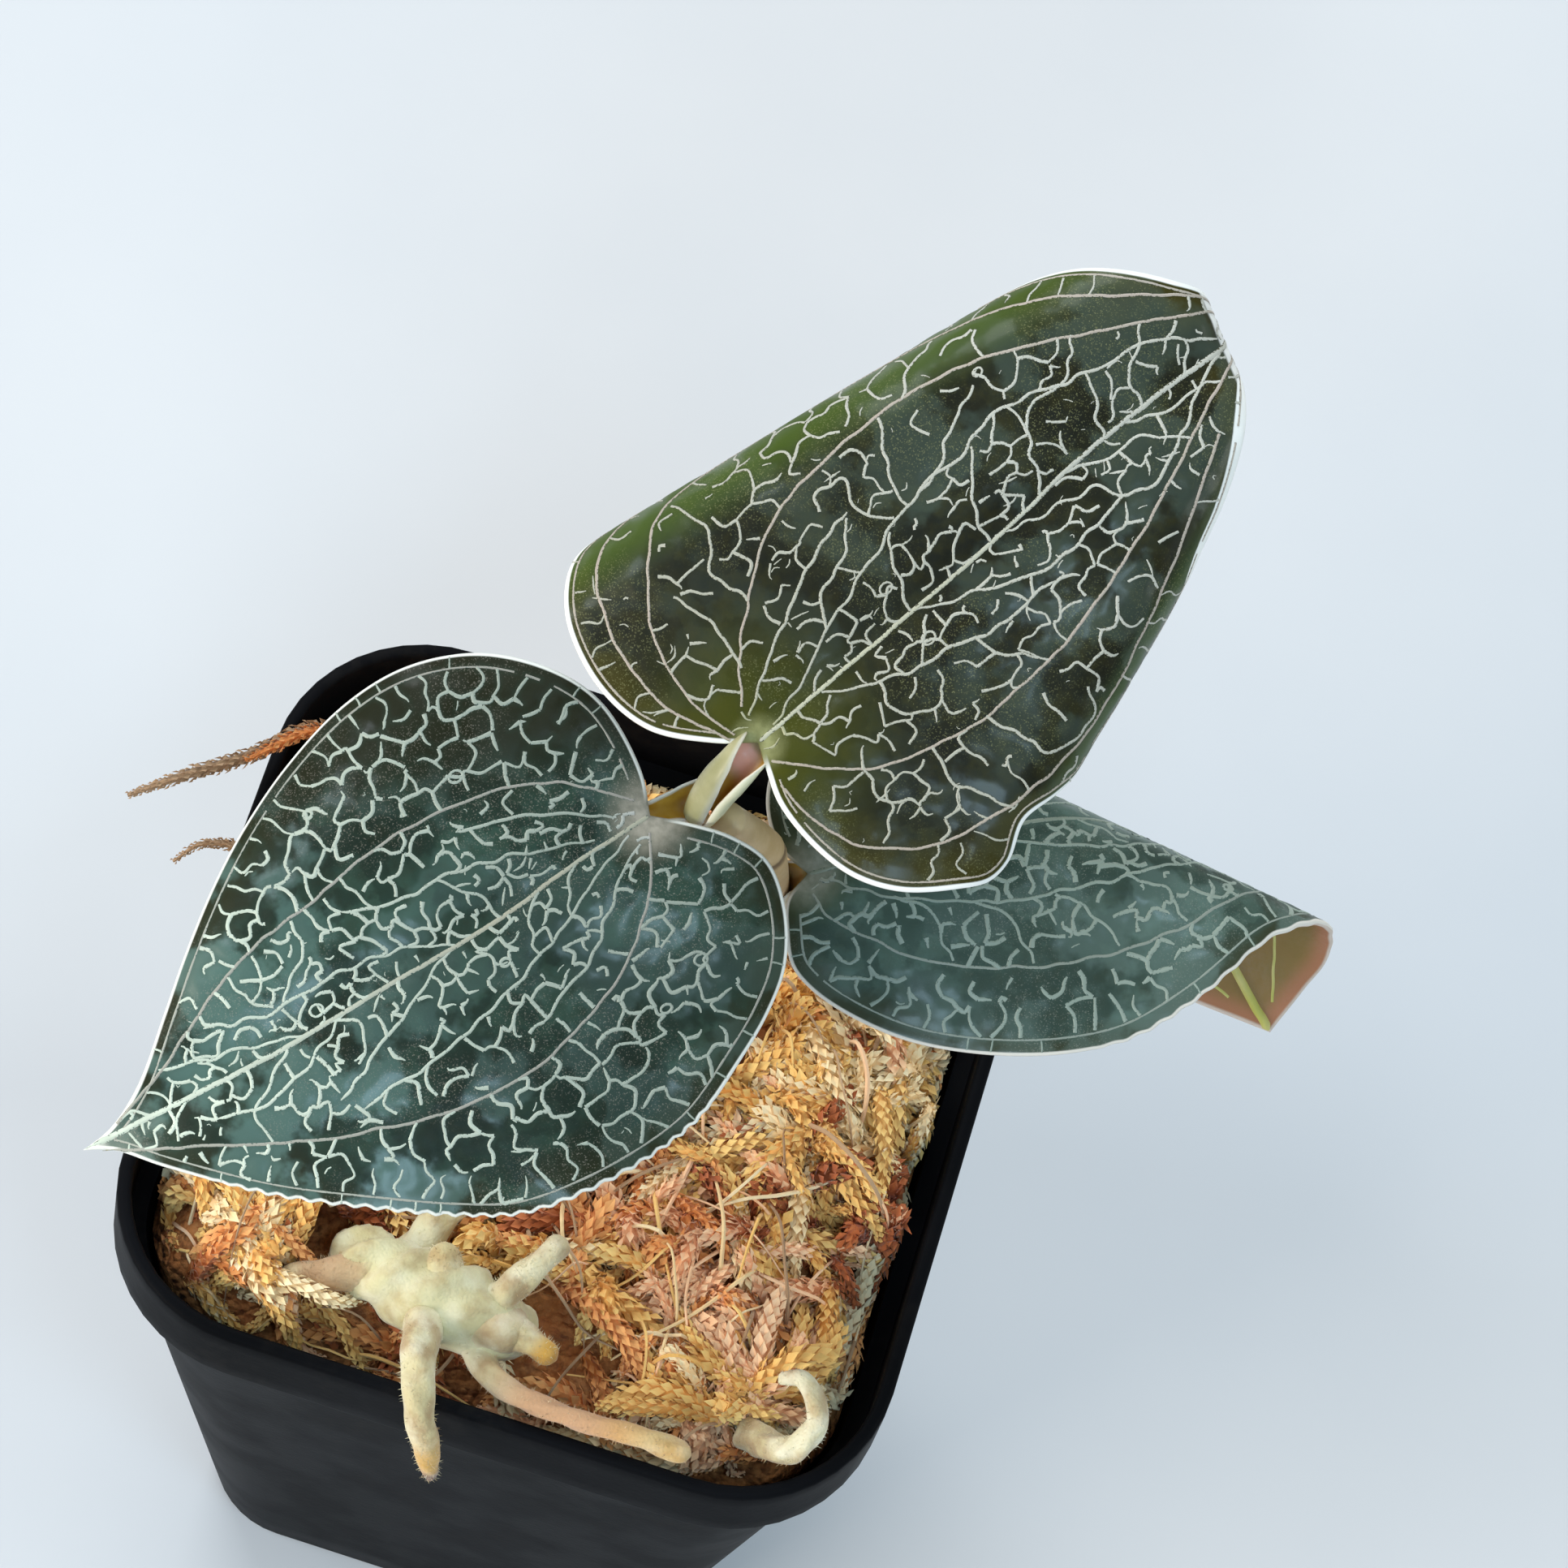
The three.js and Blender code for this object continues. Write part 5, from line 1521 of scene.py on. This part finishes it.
# %% Stem
STEM = [  # x, y, z and radius
    (9, 6, -14, 1.7), (10.2, 5, 2, 1.75), (10.6, 4.9, 18, 1.6), (10.3, 4.9, 30, 1.8),
    (8.9, 4.2, 39, 1.5), (5.6, 2.1, 46, 1.5),
]
JOINTS = (0.28, 0.42, 0.56, 0.70, 0.86)  # shares of the stem's length
STEM_SIDES = 24
stem_finish, tree, shader = new_finish("stem_brown_green", Roughness=0.45)
young_skin, _ = place_mottle(tree, 3.0, colour(202, 174, 124), colour(224, 198, 154), 0.2)
old_skin, _ = place_mottle(tree, 3.5, colour(146, 112, 90), colour(180, 142, 116), 0.2)
body = mixed(tree, between(tree, attribute(tree, "along"), 0.55, 0.95), old_skin, young_skin)
body = mixed(tree, attribute(tree, "scar"), body, colour(92, 66, 50))
add_skin(tree, shader, body, 0.4, 0.6, rough=(0.38, 0.55), depth=0.04, strength=0.5)

stem_path = smooth_curve([entry[:3] for entry in STEM], 0.4)
share = np.linspace(0, 1, len(stem_path))
stem_radius = spread_over(share, [entry[3] for entry in STEM])
scar = sum(np.exp(-(((share - joint) / 0.006) ** 2)) for joint in JOINTS)
swelling = sum(np.exp(-(((share - joint) / 0.02) ** 2)) for joint in JOINTS)
stem_radius = stem_radius * (0.94 + 0.1 * swelling - 0.05 * scar)
points, faces = tube(stem_path, stem_radius, STEM_SIDES)
along = np.concatenate([np.repeat(share, STEM_SIDES), [0, 1]])
scarred = np.concatenate([np.repeat(np.clip(scar, 0, 1), STEM_SIDES), [0, 0]])
stem_bundle = Bundle()
stem_bundle.add(points, faces, along=along, scar=scarred)
stem_bundle.finish("stem_skin", [stem_finish], "stem_green", replaced=["stem"])

# %% [markdown]
# ## Rhizome and roots
# The creeping rhizome lies at the front of the pot: a fleshy knuckle with stout roots. Orchid
# roots are pale and felted with fine hairs, and each ends in a coloured growing tip. Tubes with
# an uneven radius give the flesh, single thin triangles give the felt, and a number that runs
# from root to tip gives the colours.

# %% Root finish
root_finish, tree, shader = new_finish(
    "root_cream_felt", Roughness=0.7, Sheen_Weight=0.3, Sheen_Roughness=0.5)
along = attribute(tree, "along")
flesh, _ = place_mottle(tree, 2.6, colour(214, 206, 164), colour(236, 230, 202), 0.2)
soiled, _ = place_mottle(tree, 1.6, colour(170, 138, 92), colour(206, 190, 140), 0.15)
_, stains = place_mottle(tree, 3.5, flesh, soiled, 0.12)
body = mixed(tree, multiplied(tree, stains, 0.85), flesh, soiled)
tan_part = multiplied(tree, attribute(tree, "tan"), between(tree, along, 0.9, 0.7))
tan_part = multiplied(tree, tan_part, between(tree, along, 0.1, 0.4))
body = mixed(tree, tan_part, body, colour(198, 154, 114))
yellow_tip = multiplied(tree, between(tree, along, 0.58, 0.8), attribute(tree, "yellow"))
body = mixed(tree, yellow_tip, body, colour(214, 164, 72))
brown_tip = multiplied(tree, between(tree, along, 0.82, 0.94), attribute(tree, "brown"))
body = mixed(tree, brown_tip, body, colour(122, 76, 42))
body = mixed(tree, multiplied(tree, attribute(tree, "green"), 0.35), body, colour(202, 202, 148))
add_skin(tree, shader, body, 0.28, 0.8, rough=(0.6, 0.82), depth=0.08, strength=0.7)
print(root_finish.name, "has", len(tree.nodes), "nodes")

# %% Rhizome and roots
KNUCKLE = [(-13, -21, -2.5), (-9, -22.6, -0.6), (-4.5, -23.4, 0.2), (0, -23.8, -0.4), (3, -22.6, -3)]
KNUCKLE_RADII = [2.0, 2.8, 3.3, 2.9, 1.8]
ROOTS = {  # path, radii along it, and how yellow, brown, green and tan it is
    "over_rim": (
        [(-5, -24.5, 0), (-4.6, -29, 3.2), (-3.2, -33.4, 2.8), (-1.6, -35.4, -0.6),
         (-0.8, -35.7, -5.3)],
        [1.9, 1.5, 1.25, 1.05, 0.5], 1.0, 1.0, 0.1, 0.0),
    "upright": (
        [(-1, -23.5, 0), (0.6, -21.6, 2.2), (3.6, -17, 4.6)],
        [1.8, 1.15, 0.95], 0.0, 0.1, 0.0, 0.0),
    "short": (
        [(0.5, -23.8, -0.4), (3.2, -24.8, 1.4), (5.8, -25.6, 1.1)],
        [1.9, 1.2, 0.8], 1.0, 0.3, 0.0, 0.0),
    "along_rim": (
        [(-1.5, -25, -1), (2, -28.6, 0.4), (8, -29.8, 1.4), (14, -29.9, 2.2), (18.1, -30, 2)],
        [1.4, 1.0, 0.8, 0.85, 0.95], 0.5, 0.0, 0.0, 1.0),
    "buried": (
        [(-8, -21, -1), (-6, -15.5, -0.5), (-3, -11, -4.5)],
        [1.6, 1.3, 0.8], 0.0, 0.2, 0.3, 0.0),
    "top_bud": (
        [(-4.6, -23, 0.4), (-4.9, -21.4, 2.2), (-5.4, -19.9, 3.4)],
        [2.7, 1.8, 0.8], 0.1, 0.0, 0.5, 0.0),
    "right_bud": (
        [(-0.6, -23.8, 0), (1.2, -24.8, 0.8), (2.2, -26.0, 0.6)],
        [2.6, 2.3, 1.5], 0.0, 0.2, 0.0, 0.2),
    "old_shoot": (
        [(-10, -22.4, -0.8), (-13.4, -24.2, -0.2), (-17, -25.4, -0.9)],
        [2.0, 1.35, 1.0], 0.0, 0.3, 0.0, 0.7),
    "curled_shoot": (
        [(22, -25, -3), (25.4, -27, 2), (26.6, -25, 5.2), (24.6, -22.6, 6.0), (22.8, -22.6, 4.4)],
        [1.4, 1.15, 1.0, 0.85, 0.5], 0.0, 0.0, 0.0, 0.0),
}
ROOT_SIDES = 22
KNUCKLE_HAIRS, ROOT_HAIRS = 500, 420
HAIR_LENGTH, HAIR_HALF_WIDTH = 0.5, 0.035
root_rng = np.random.default_rng(41)
print("roots:", list(ROOTS))


# %% Flesh and felt
def fleshy(path, radii, lumps):
    """Radii of an uneven fleshy tube, for each ring corner, with a rounded tip."""
    share = np.linspace(0, 1, len(path))
    radius = spread_over(share, radii)
    length = gaps_along(path).sum()
    left = (1 - share) * length
    tip_radius = radii[-1]
    dome = np.sqrt(np.clip(1 - (1 - left / tip_radius) ** 2, 0.01, 1))
    radius = np.where(left < tip_radius, dome * radius, radius)
    turn = np.linspace(0, 2 * np.pi, ROOT_SIDES, endpoint=False)
    shape = np.ones((len(path), ROOT_SIDES))
    for _ in range(7):
        lobes, pitch = root_rng.integers(1, 5), root_rng.uniform(0.6, 2.4)
        phase, height = root_rng.uniform(0, 6.3), root_rng.uniform(0.3, 1)
        wave = np.sin(lobes * turn[None] + pitch * share[:, None] * length + phase)
        shape += lumps * height * wave / 3
    return radius[:, None] * shape


def felt_hairs(bundle, path, radii, count, **numbers):
    """Fine hairs on a root: one narrow triangle each."""
    _, across, over = path_frames(path)
    row = root_rng.integers(2, len(path) - 2, count)
    turn = root_rng.uniform(0, 2 * np.pi, count)
    outward = across[row] * np.cos(turn)[:, None] + over[row] * np.sin(turn)[:, None]
    base = path[row] + outward * (radii[row].mean(axis=1) * 0.96)[:, None]
    reach = unit(outward + root_rng.normal(0, 0.5, (count, 3)))
    aside = unit(np.cross(reach, root_rng.normal(0, 1, (count, 3)))) * HAIR_HALF_WIDTH
    size = root_rng.uniform(0.5, 1.0, count)[:, None] * HAIR_LENGTH
    points = np.stack([base - aside, base + aside, base + reach * size], axis=1).reshape(-1, 3)
    faces = np.arange(count * 3).reshape(-1, 3)
    bundle.add(points, faces, **numbers)


roots = Bundle()
path = smooth_curve(KNUCKLE, 0.3)
radii = fleshy(path, KNUCKLE_RADII, 0.2)
ridge = 1 + 0.09 * np.abs(np.sin(np.linspace(0, 1, len(path)) * 13))
points, faces = tube(path, radii * ridge[:, None], ROOT_SIDES)
roots.add(points, faces, along=0.2, yellow=0.0, brown=0.0, green=0.8, tan=0.0)
plain = dict(yellow=0.0, brown=0.0)
felt_hairs(roots, path, radii, KNUCKLE_HAIRS, along=0.2, green=0.3, tan=0.0, **plain)
for name, (line, sizes, yellow, brown, green, tan) in ROOTS.items():
    path = smooth_curve(line, 0.22)
    radii = fleshy(path, sizes, 0.14)
    points, faces = tube(path, radii, ROOT_SIDES)
    along = np.concatenate([np.repeat(np.linspace(0, 1, len(path)), ROOT_SIDES), [0, 1]])
    roots.add(points, faces, along=along, yellow=yellow, brown=brown, green=green, tan=tan)
    felt_hairs(roots, path, radii, ROOT_HAIRS, along=0.4, green=0.0, tan=tan * 0.5, **plain)
roots.finish("rhizome_and_roots", [root_finish], "root_pale", replaced=["rhizome"])

# %% [markdown]
# ## The bed of moss
# The pot is filled with long-fibre sphagnum moss, bleached cream and gold where it is dry and
# stained rust and red brown where it stays wet. Under the strands a closed, lumpy body fills
# the pot, so that nothing shows through. It follows the same rounded squares as the pot.

# %% Moss bed
MOUNDS = [  # x, y, height and spread
    (-6, -23, 3, 6), (9, -17, 3.5, 7), (19, -11, 3, 5), (22, 4, 3, 6), (8, 6, 2.5, 9),
    (-28, 22, 4.5, 5), (14, 21, 2, 8), (-14, 2, 2.5, 8), (-26, -21, 2.6, 5), (-20, -27, 1.6, 4),
]
BED_EDGE, BED_RISE = -9.0, 3.5


def bed_height(x, y):
    """How high the bed stands, from the rim, at points of the plan."""
    to_wall = wall_at(-5.5)[0] - WALL - np.maximum(np.abs(x), np.abs(y))
    mounds = sum(height * np.exp(-((x - mx) ** 2 + (y - my) ** 2) / (2 * spread ** 2))
                 for mx, my, height, spread in MOUNDS)
    ripple = 0.5 * np.sin(x * 0.9 + y * 0.4) * np.cos(y * 0.8 - x * 0.3)
    share = smoothstep(to_wall, 0, 5)
    return BED_EDGE + (BED_RISE + ripple + mounds) * share


def lumps(x, y):
    """Small uneven lumps."""
    return (0.45 * np.sin(1.9 * x + 1.1 * np.sin(1.3 * y)) * np.cos(1.6 * y + 0.9 * np.sin(1.1 * x))
            + 0.25 * np.sin(4.1 * x - 2.3 * y) * np.cos(3.3 * y + 1.7 * x))


inset = WALL + 0.35
bed_rings = [pot_ring(FLOOR_TOP + 0.3, inset + 0.8)]
bed_rings += [pot_ring(z, inset) for z in np.linspace(-70, -12, 6)]
edge_ring = pot_ring(-9.6, inset)
for share in np.linspace(1, 0.02, 44):
    x, y = edge_ring[:, 0] * share, edge_ring[:, 1] * share
    fade = min(1, (1 - share) * 8)
    bed_rings.append(np.stack([x, y, bed_height(x, y) - 0.9 + fade * lumps(x, y)], axis=1))
bed_points, bed_faces = ring_skin(bed_rings)
bed_bundle = Bundle()
bed_bundle.add(bed_points, bed_faces)
peat_finish, tree, shader = new_finish("moss_bed_brown", Roughness=0.9)
peat, _ = place_mottle(tree, 5.0, colour(162, 92, 44), colour(206, 138, 78), 0.15)
crumbs, _ = place_mottle(tree, 0.9, colour(122, 72, 36), colour(196, 134, 78), 0.12)
_, crumb_share = place_mottle(tree, 2.0, peat, crumbs, 0.2)
body = mixed(tree, crumb_share, peat, crumbs)
add_skin(tree, shader, body, 0.7, 0.9, rough=(0.8, 1.0), depth=0.5, strength=0.9)
bed_bundle.finish("moss_bed_body", [peat_finish], "moss_rust", replaced=["moss_bed"])

# %% [markdown]
# ## Strands of sphagnum
# A strand is a thin stem hidden under hundreds of tiny scale leaves that overlap like a rope.
# Particles would not survive an export, so real mesh is built, cheaply: a scale leaf is a kite
# of two triangles, folded along its middle, and a golden-angle spiral places it. The strands
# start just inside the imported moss, arch over it and dip back in. Named patches of the bed
# decide which of the kinds of moss grows where: rust, gold, cream, pink or dark.

# %% Strand kinds and patches
KINDS = {  # two colours, slot
    "rust": (colour(214, 132, 66), colour(246, 180, 112), "moss_rust"),
    "dark": (colour(152, 78, 38), colour(198, 114, 62), "moss_rust"),
    "straw": (colour(150, 118, 88), colour(188, 156, 120), "moss_rust"),
    "gold": (colour(232, 170, 84), colour(250, 210, 134), "moss_pale"),
    "cream": (colour(240, 202, 142), colour(254, 234, 194), "moss_pale"),
    "pink": (colour(242, 176, 126), colour(253, 212, 172), "moss_pale"),
}
PATCHES = [  # kind, x, y, reach, weight
    ("gold", -20.4, -25.2, 5, 3), ("cream", -22, -21, 3.5, 3), ("rust", -27, -19, 4, 3),
    ("gold", -28, -24, 3, 2), ("dark", -11.7, -18, 5, 4), ("rust", -4, -14, 7, 2),
    ("rust", 8, -18, 6, 4), ("rust", 10, -9, 5, 1), ("pink", 7, -10, 5, 4),
    ("pink", 19.3, -12, 4.5, 6), ("pink", 14, -24, 5, 4), ("gold", 11, -14, 5, 3),
    ("cream", 22, -23, 4, 6), ("dark", 26.5, -6, 4, 6), ("rust", 24, -14, 3, 2),
    ("gold", 17, 3, 6, 5), ("cream", 21, 6, 5, 5), ("gold", 8, 8, 7, 3),
    ("cream", 26, 8, 4, 5), ("gold", 12, -28, 4, 3), ("rust", -28, 22, 6, 4),
    ("gold", -15, 8, 9, 1), ("cream", 12, 22, 8, 1), ("rust", -10, 22, 9, 1),
]
SCALE_LEAF = dict(length=0.95, half_width=0.25, step=0.115, widest=0.45, fold=0.14)
CORE, LEAF_FOOT = 0.42, 0.34  # radius of a strand's stem, and of the leaves' feet, by its width
GOLDEN_ANGLE = 2.39996
COMMON = {"rust": 0.35, "dark": 0.08, "gold": 0.3, "cream": 0.2, "pink": 0.25}
moss_rng = np.random.default_rng(19)
print("kinds of moss:", list(KINDS), "in", len(PATCHES), "patches")


# %% One strand
def kind_at(x, y):
    """Which kind of moss grows at a place, by chance."""
    weights = dict(COMMON)
    for kind, px, py, reach, weight in PATCHES:
        weights[kind] += weight * math.exp(-((x - px) ** 2 + (y - py) ** 2) / (2 * reach ** 2))
    names = list(weights)
    shares = np.array([weights[name] for name in names])
    return names[moss_rng.choice(len(names), p=shares / shares.sum())]


def add_strand(bundle, path, width, shade, sides=4):
    """A rope of scale leaves along a path."""
    share = np.linspace(0, 1, len(path))
    taper = np.interp(share, [0, 0.12, 0.75, 1], [0.6, 1, 0.85, 0.35])
    core, core_faces = tube(path, CORE * width * taper, sides)
    bundle.add(core, core_faces, shade=shade * 0.8, tip=0.0)
    count = int(gaps_along(path).sum() / SCALE_LEAF["step"])
    if count < 3:
        return
    at = np.linspace(0.01, 0.99, count)
    rows = (path, *path_frames(path))
    centre, forward, across, over = [read_at(at, share, row) for row in rows]
    turn = np.arange(count) * GOLDEN_ANGLE + moss_rng.uniform(0, 6.28)
    outward = across * np.cos(turn)[:, None] + over * np.sin(turn)[:, None]
    aside = np.cross(forward, outward)
    thick = width * np.interp(at, share, taper)
    open_angle = np.radians(moss_rng.uniform(8, 34, count))[:, None]
    scale = np.clip(thick, 0.4, 1.6)
    size = SCALE_LEAF["length"] * (moss_rng.uniform(0.75, 1.2, count) * scale)[:, None]
    half = SCALE_LEAF["half_width"] * (moss_rng.uniform(0.85, 1.3, count) * scale)[:, None]
    base = centre + outward * (LEAF_FOOT * thick)[:, None]
    direction = forward * np.cos(open_angle) + outward * np.sin(open_angle)
    point = base + direction * size
    middle = base + direction * size * SCALE_LEAF["widest"]
    left = middle + aside * half + outward * SCALE_LEAF["fold"]
    right = middle - aside * half + outward * SCALE_LEAF["fold"]
    points = np.stack([base, right, point, left], axis=1).reshape(-1, 3)
    a = np.arange(count) * 4
    faces = np.concatenate([np.stack([a, a + 1, a + 2], axis=1), np.stack([a, a + 2, a + 3], axis=1)])
    tone = np.clip(shade + moss_rng.normal(0, 0.12, count), 0, 1)
    bundle.add(points, faces, shade=np.repeat(tone, 4), tip=np.tile([0.0, 0.5, 1.0, 0.5], count))


# %% Ground under the strands
ground_nodes = ["moss_bed", "pale_moss_left", "pale_moss_right"]
ground_points, ground_faces = [], []
for name in ground_nodes:
    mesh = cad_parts[name].data
    offset = len(ground_points)
    ground_points += [vertex.co.copy() for vertex in mesh.vertices]
    ground_faces += [tuple(index + offset for index in face.vertices) for face in mesh.polygons]
ground_tree = BVHTree.FromPolygons(ground_points, ground_faces)
print("packed moss under the strands:", len(ground_faces), "faces")


def ground_at(x, y):
    """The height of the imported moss, in millimetres from the rim."""
    hit = ground_tree.ray_cast(Vector((x * MM, y * MM, 0.2)), Vector((0, 0, -1)))[0]
    return bed_height(np.array(x), np.array(y)) if hit is None else hit.z / MM - RIM


keep_clear = [(smooth_curve(KNUCKLE, 1.0), 3.0), (stem_path[::3], 2.0)]
keep_clear += [(smooth_curve(line, 1.0), 1.25) for line, *_ in ROOTS.values()]


def is_clear(path):
    """Whether a path keeps off the rhizome, the roots and the stem."""
    for line, room in keep_clear:
        gaps = np.linalg.norm(path[:, None, :] - line[None, :, :], axis=2)
        if (gaps < room).any():
            return False
    return True


BED_CORNER = 11.0


def kept_in_pot(plan, margin=1.2):
    """Points of the plan, moved inside the pot's rounded square where they leave it."""
    limit = wall_at(-9)[0] - WALL - margin
    plan = np.clip(plan, -limit, limit)
    straight = limit - BED_CORNER
    over = np.maximum(np.abs(plan) - straight, 0)
    reach = np.linalg.norm(over, axis=1)
    scale = np.where(reach > BED_CORNER, BED_CORNER / np.maximum(reach, 1e-6), 1)
    return np.sign(plan) * (np.minimum(np.abs(plan), straight) + over * scale[:, None])


def lying_path(x, y, length, arch, sink=0.7):
    """A path over the bed from (x, y): it rises, follows the ground and dips in again."""
    heading = moss_rng.uniform(0, 2 * np.pi)
    bend = moss_rng.normal(0, 0.75)
    share = np.linspace(0, 1, 6)
    turn = heading + bend * share
    steps = np.stack([np.cos(turn), np.sin(turn)], axis=1) * length / 5
    plan = np.array([x, y]) + np.vstack([[0, 0], np.cumsum(steps[:-1], axis=0)])
    plan = kept_in_pot(plan)
    heights = np.array([ground_at(px, py) for px, py in plan])
    smooth_heights = 0.5 * heights + 0.5 * heights.mean()
    heights = np.minimum(heights, smooth_heights + 1.5)
    lift = -sink + arch * np.sin(np.pi * np.clip(share * 1.08, 0, 1)) + moss_rng.normal(0, 0.25, 6)
    if gaps_along(plan).min() < 0.3:
        return None
    return smooth_curve(np.column_stack([plan, heights + lift]), 0.8)


# %% Strands over the bed
STRAND_COUNT = 760
bundles = {kind: Bundle() for kind in KINDS}
made = 0
limit = wall_at(-9)[0] - WALL - 1.5
for index in range(STRAND_COUNT):
    x, y = moss_rng.uniform(-limit, limit, 2)
    kind = kind_at(x, y)
    layer = index / STRAND_COUNT
    arch = moss_rng.uniform(0.5, 1.6) + 1.1 * layer
    path = lying_path(x, y, moss_rng.uniform(6, 15), arch)
    if path is None or not is_clear(path):
        continue
    add_strand(bundles[kind], path, moss_rng.uniform(0.9, 1.75), moss_rng.uniform(0, 1))
    made += 1
print("strands on the bed:", made)

# %% [markdown]
# ## Tufts and long fibres
# Three pale tufts stand higher than the bed, and at the back left long fibres reach out over
# the collar. They use the same ropes on paths of their own.

# %% Tufts
TUFTS = {  # a line through its heart, its radius, how many strands, and their kinds
    "left": ([(-24.5, -20, -4.5), (-20.5, -23, -2), (-16, -25.5, -4.5)], 3.2, 34, ("gold", "cream")),
    "right": ([(17, -2, -5), (22, 4, -2.4), (25, 10, -4.5)], 3.4, 44, ("cream", "gold")),
    "front": ([(17, -25, -4.8), (21.5, -22.5, -3.2), (23.5, -19, -5.8)], 2.4, 26, ("gold", "pink")),
}


def add_if_clear(kind, plan, heights, widths, shades):
    """A strand through points of the plan, unless something stands in its way."""
    path = smooth_curve(np.column_stack([plan, heights]), 0.7)
    if is_clear(path):
        add_strand(bundles[kind], path, moss_rng.uniform(*widths), moss_rng.uniform(*shades))


for heart, radius, count, kinds in TUFTS.values():
    spine = smooth_curve(heart, 0.5)
    for index in range(count):
        root = spine[moss_rng.integers(1, len(spine) - 1)]
        root = root + moss_rng.normal(0, radius * 0.33, 3) * [1, 1, 0.2]
        inward = math.atan2(-root[1], -root[0])
        heading = inward + moss_rng.uniform(-2.0, 2.0)
        length = moss_rng.uniform(6, 12)
        arch = moss_rng.uniform(1.5, 3.6)
        share = np.linspace(0, 1, 6)
        turn = heading + moss_rng.uniform(-0.9, 0.9) * share
        plan = root[:2] + np.stack([np.cos(turn), np.sin(turn)], axis=1) * (length * share)[:, None]
        plan = kept_in_pot(plan, moss_rng.uniform(1.5, 4.6))
        rise = root[2] + radius * 0.35 + arch * np.sin(np.pi * (0.08 + 0.82 * share)) - 1.2 * share ** 2
        heights = np.maximum(rise, np.array([ground_at(px, py) for px, py in plan]) - 0.4)
        add_if_clear(kinds[index % 2], plan, heights, widths=(1.1, 1.8), shades=(0.2, 1))
print("tufts:", list(TUFTS))

# %% Long fibres over the collar
LONG_FIBRES = [
    [(-25, 21, -4), (-29, 20, 1.5), (-33.6, 14.8, 3), (-38, 11, 3.6), (-41.4, 8.4, 2.9)],
    [(-27, 10, -6), (-30, 8, 1), (-34.4, 6.6, 2.4), (-36.2, 4.7, 1.5)],
]
for index, line in enumerate(LONG_FIBRES):
    whole = smooth_curve(line, 0.6)
    add_strand(bundles["straw"], whole, 1.15 - 0.35 * index, 0.5, 6)
    add_strand(bundles["straw"], whole[:-6] + [0.3, 0.5, -0.4], 0.7, 0.9, 6)
    add_strand(bundles["rust"], whole[:len(whole) * 3 // 5] + [0.2, -0.3, 0.4], 1.0, 0.2, 6)
print("long fibres:", len(LONG_FIBRES), "of three strands each")

# %% Fine fibres
FIBRE_COUNT, FIBRE_SIDES = 260, 5
FIBRE_KINDS = ("cream", "gold", "pink", "straw")
for index in range(FIBRE_COUNT):
    x, y = moss_rng.uniform(-limit, limit, 2)
    path = lying_path(x, y, moss_rng.uniform(6, 16), moss_rng.uniform(1.6, 3.4), 0.2)
    if path is None or not is_clear(path):
        continue
    taper = np.interp(np.linspace(0, 1, len(path)), [0, 0.2, 1], [0.7, 1, 0.5])
    points, faces = tube(path, moss_rng.uniform(0.1, 0.22) * taper, FIBRE_SIDES)
    kind = FIBRE_KINDS[index % len(FIBRE_KINDS)]
    bundles[kind].add(points, faces, shade=moss_rng.uniform(0, 1), tip=0.4)
print("fine fibres tried:", FIBRE_COUNT)

# %% Strands that hang down a tuft's outer flank
FLANK_DROP = 8.5
for heart, radius, count, kinds in TUFTS.values():
    spine = smooth_curve(heart, 0.5)
    for index in range(count // 2):
        root = spine[moss_rng.integers(0, len(spine))]
        heading = math.atan2(root[1], root[0]) + moss_rng.uniform(-1.0, 1.0)
        share = np.linspace(0, 1, 6)
        reach = moss_rng.uniform(4, 9) * np.minimum(share * 1.7, 1)
        plan = root[:2] + np.outer(reach, [math.cos(heading), math.sin(heading)])
        plan = kept_in_pot(plan, moss_rng.uniform(1.5, 4.0))
        fall = root[2] + moss_rng.uniform(0.4, 1.6) - FLANK_DROP * np.maximum(share - 0.3, 0) ** 1.3
        add_if_clear(kinds[index % 2], plan, fall, widths=(0.9, 1.5), shades=(0, 1))
print("moss points:", {kind: bundle.count for kind, bundle in bundles.items()})


# %% Strand finishes
def strand_finish(name, first, second):
    """A strand's scale leaves: papery, paler towards their points, each strand its own shade."""
    finish, tree, shader = new_finish(name, Roughness=0.8, Sheen_Weight=0.25, Sheen_Roughness=0.4)
    body = mixed(tree, attribute(tree, "shade"), first, second)
    _, wet = place_mottle(tree, 6.0, first, second, 0.2)
    body = mixed(tree, multiplied(tree, wet, 0.45), body, first)
    paler = tuple(min(1, value * 1.25 + 0.02) for value in second[:3]) + (1.0,)
    body = mixed(tree, multiplied(tree, attribute(tree, "tip"), 0.45), body, paler)
    add_skin(tree, shader, body, 0.25, 0.6, rough=(0.7, 0.92), depth=0.05, strength=0.5)
    return finish


STANDS_FOR = {"gold": ["pale_moss_left"], "cream": ["pale_moss_right", "pale_moss_front"]}
for kind, bundle in bundles.items():
    first, second, slot = KINDS[kind]
    finish = strand_finish("moss_" + kind, first, second)
    bundle.finish("moss_strands_" + kind, [finish], slot, replaced=STANDS_FOR.get(kind, ()), smooth=False)
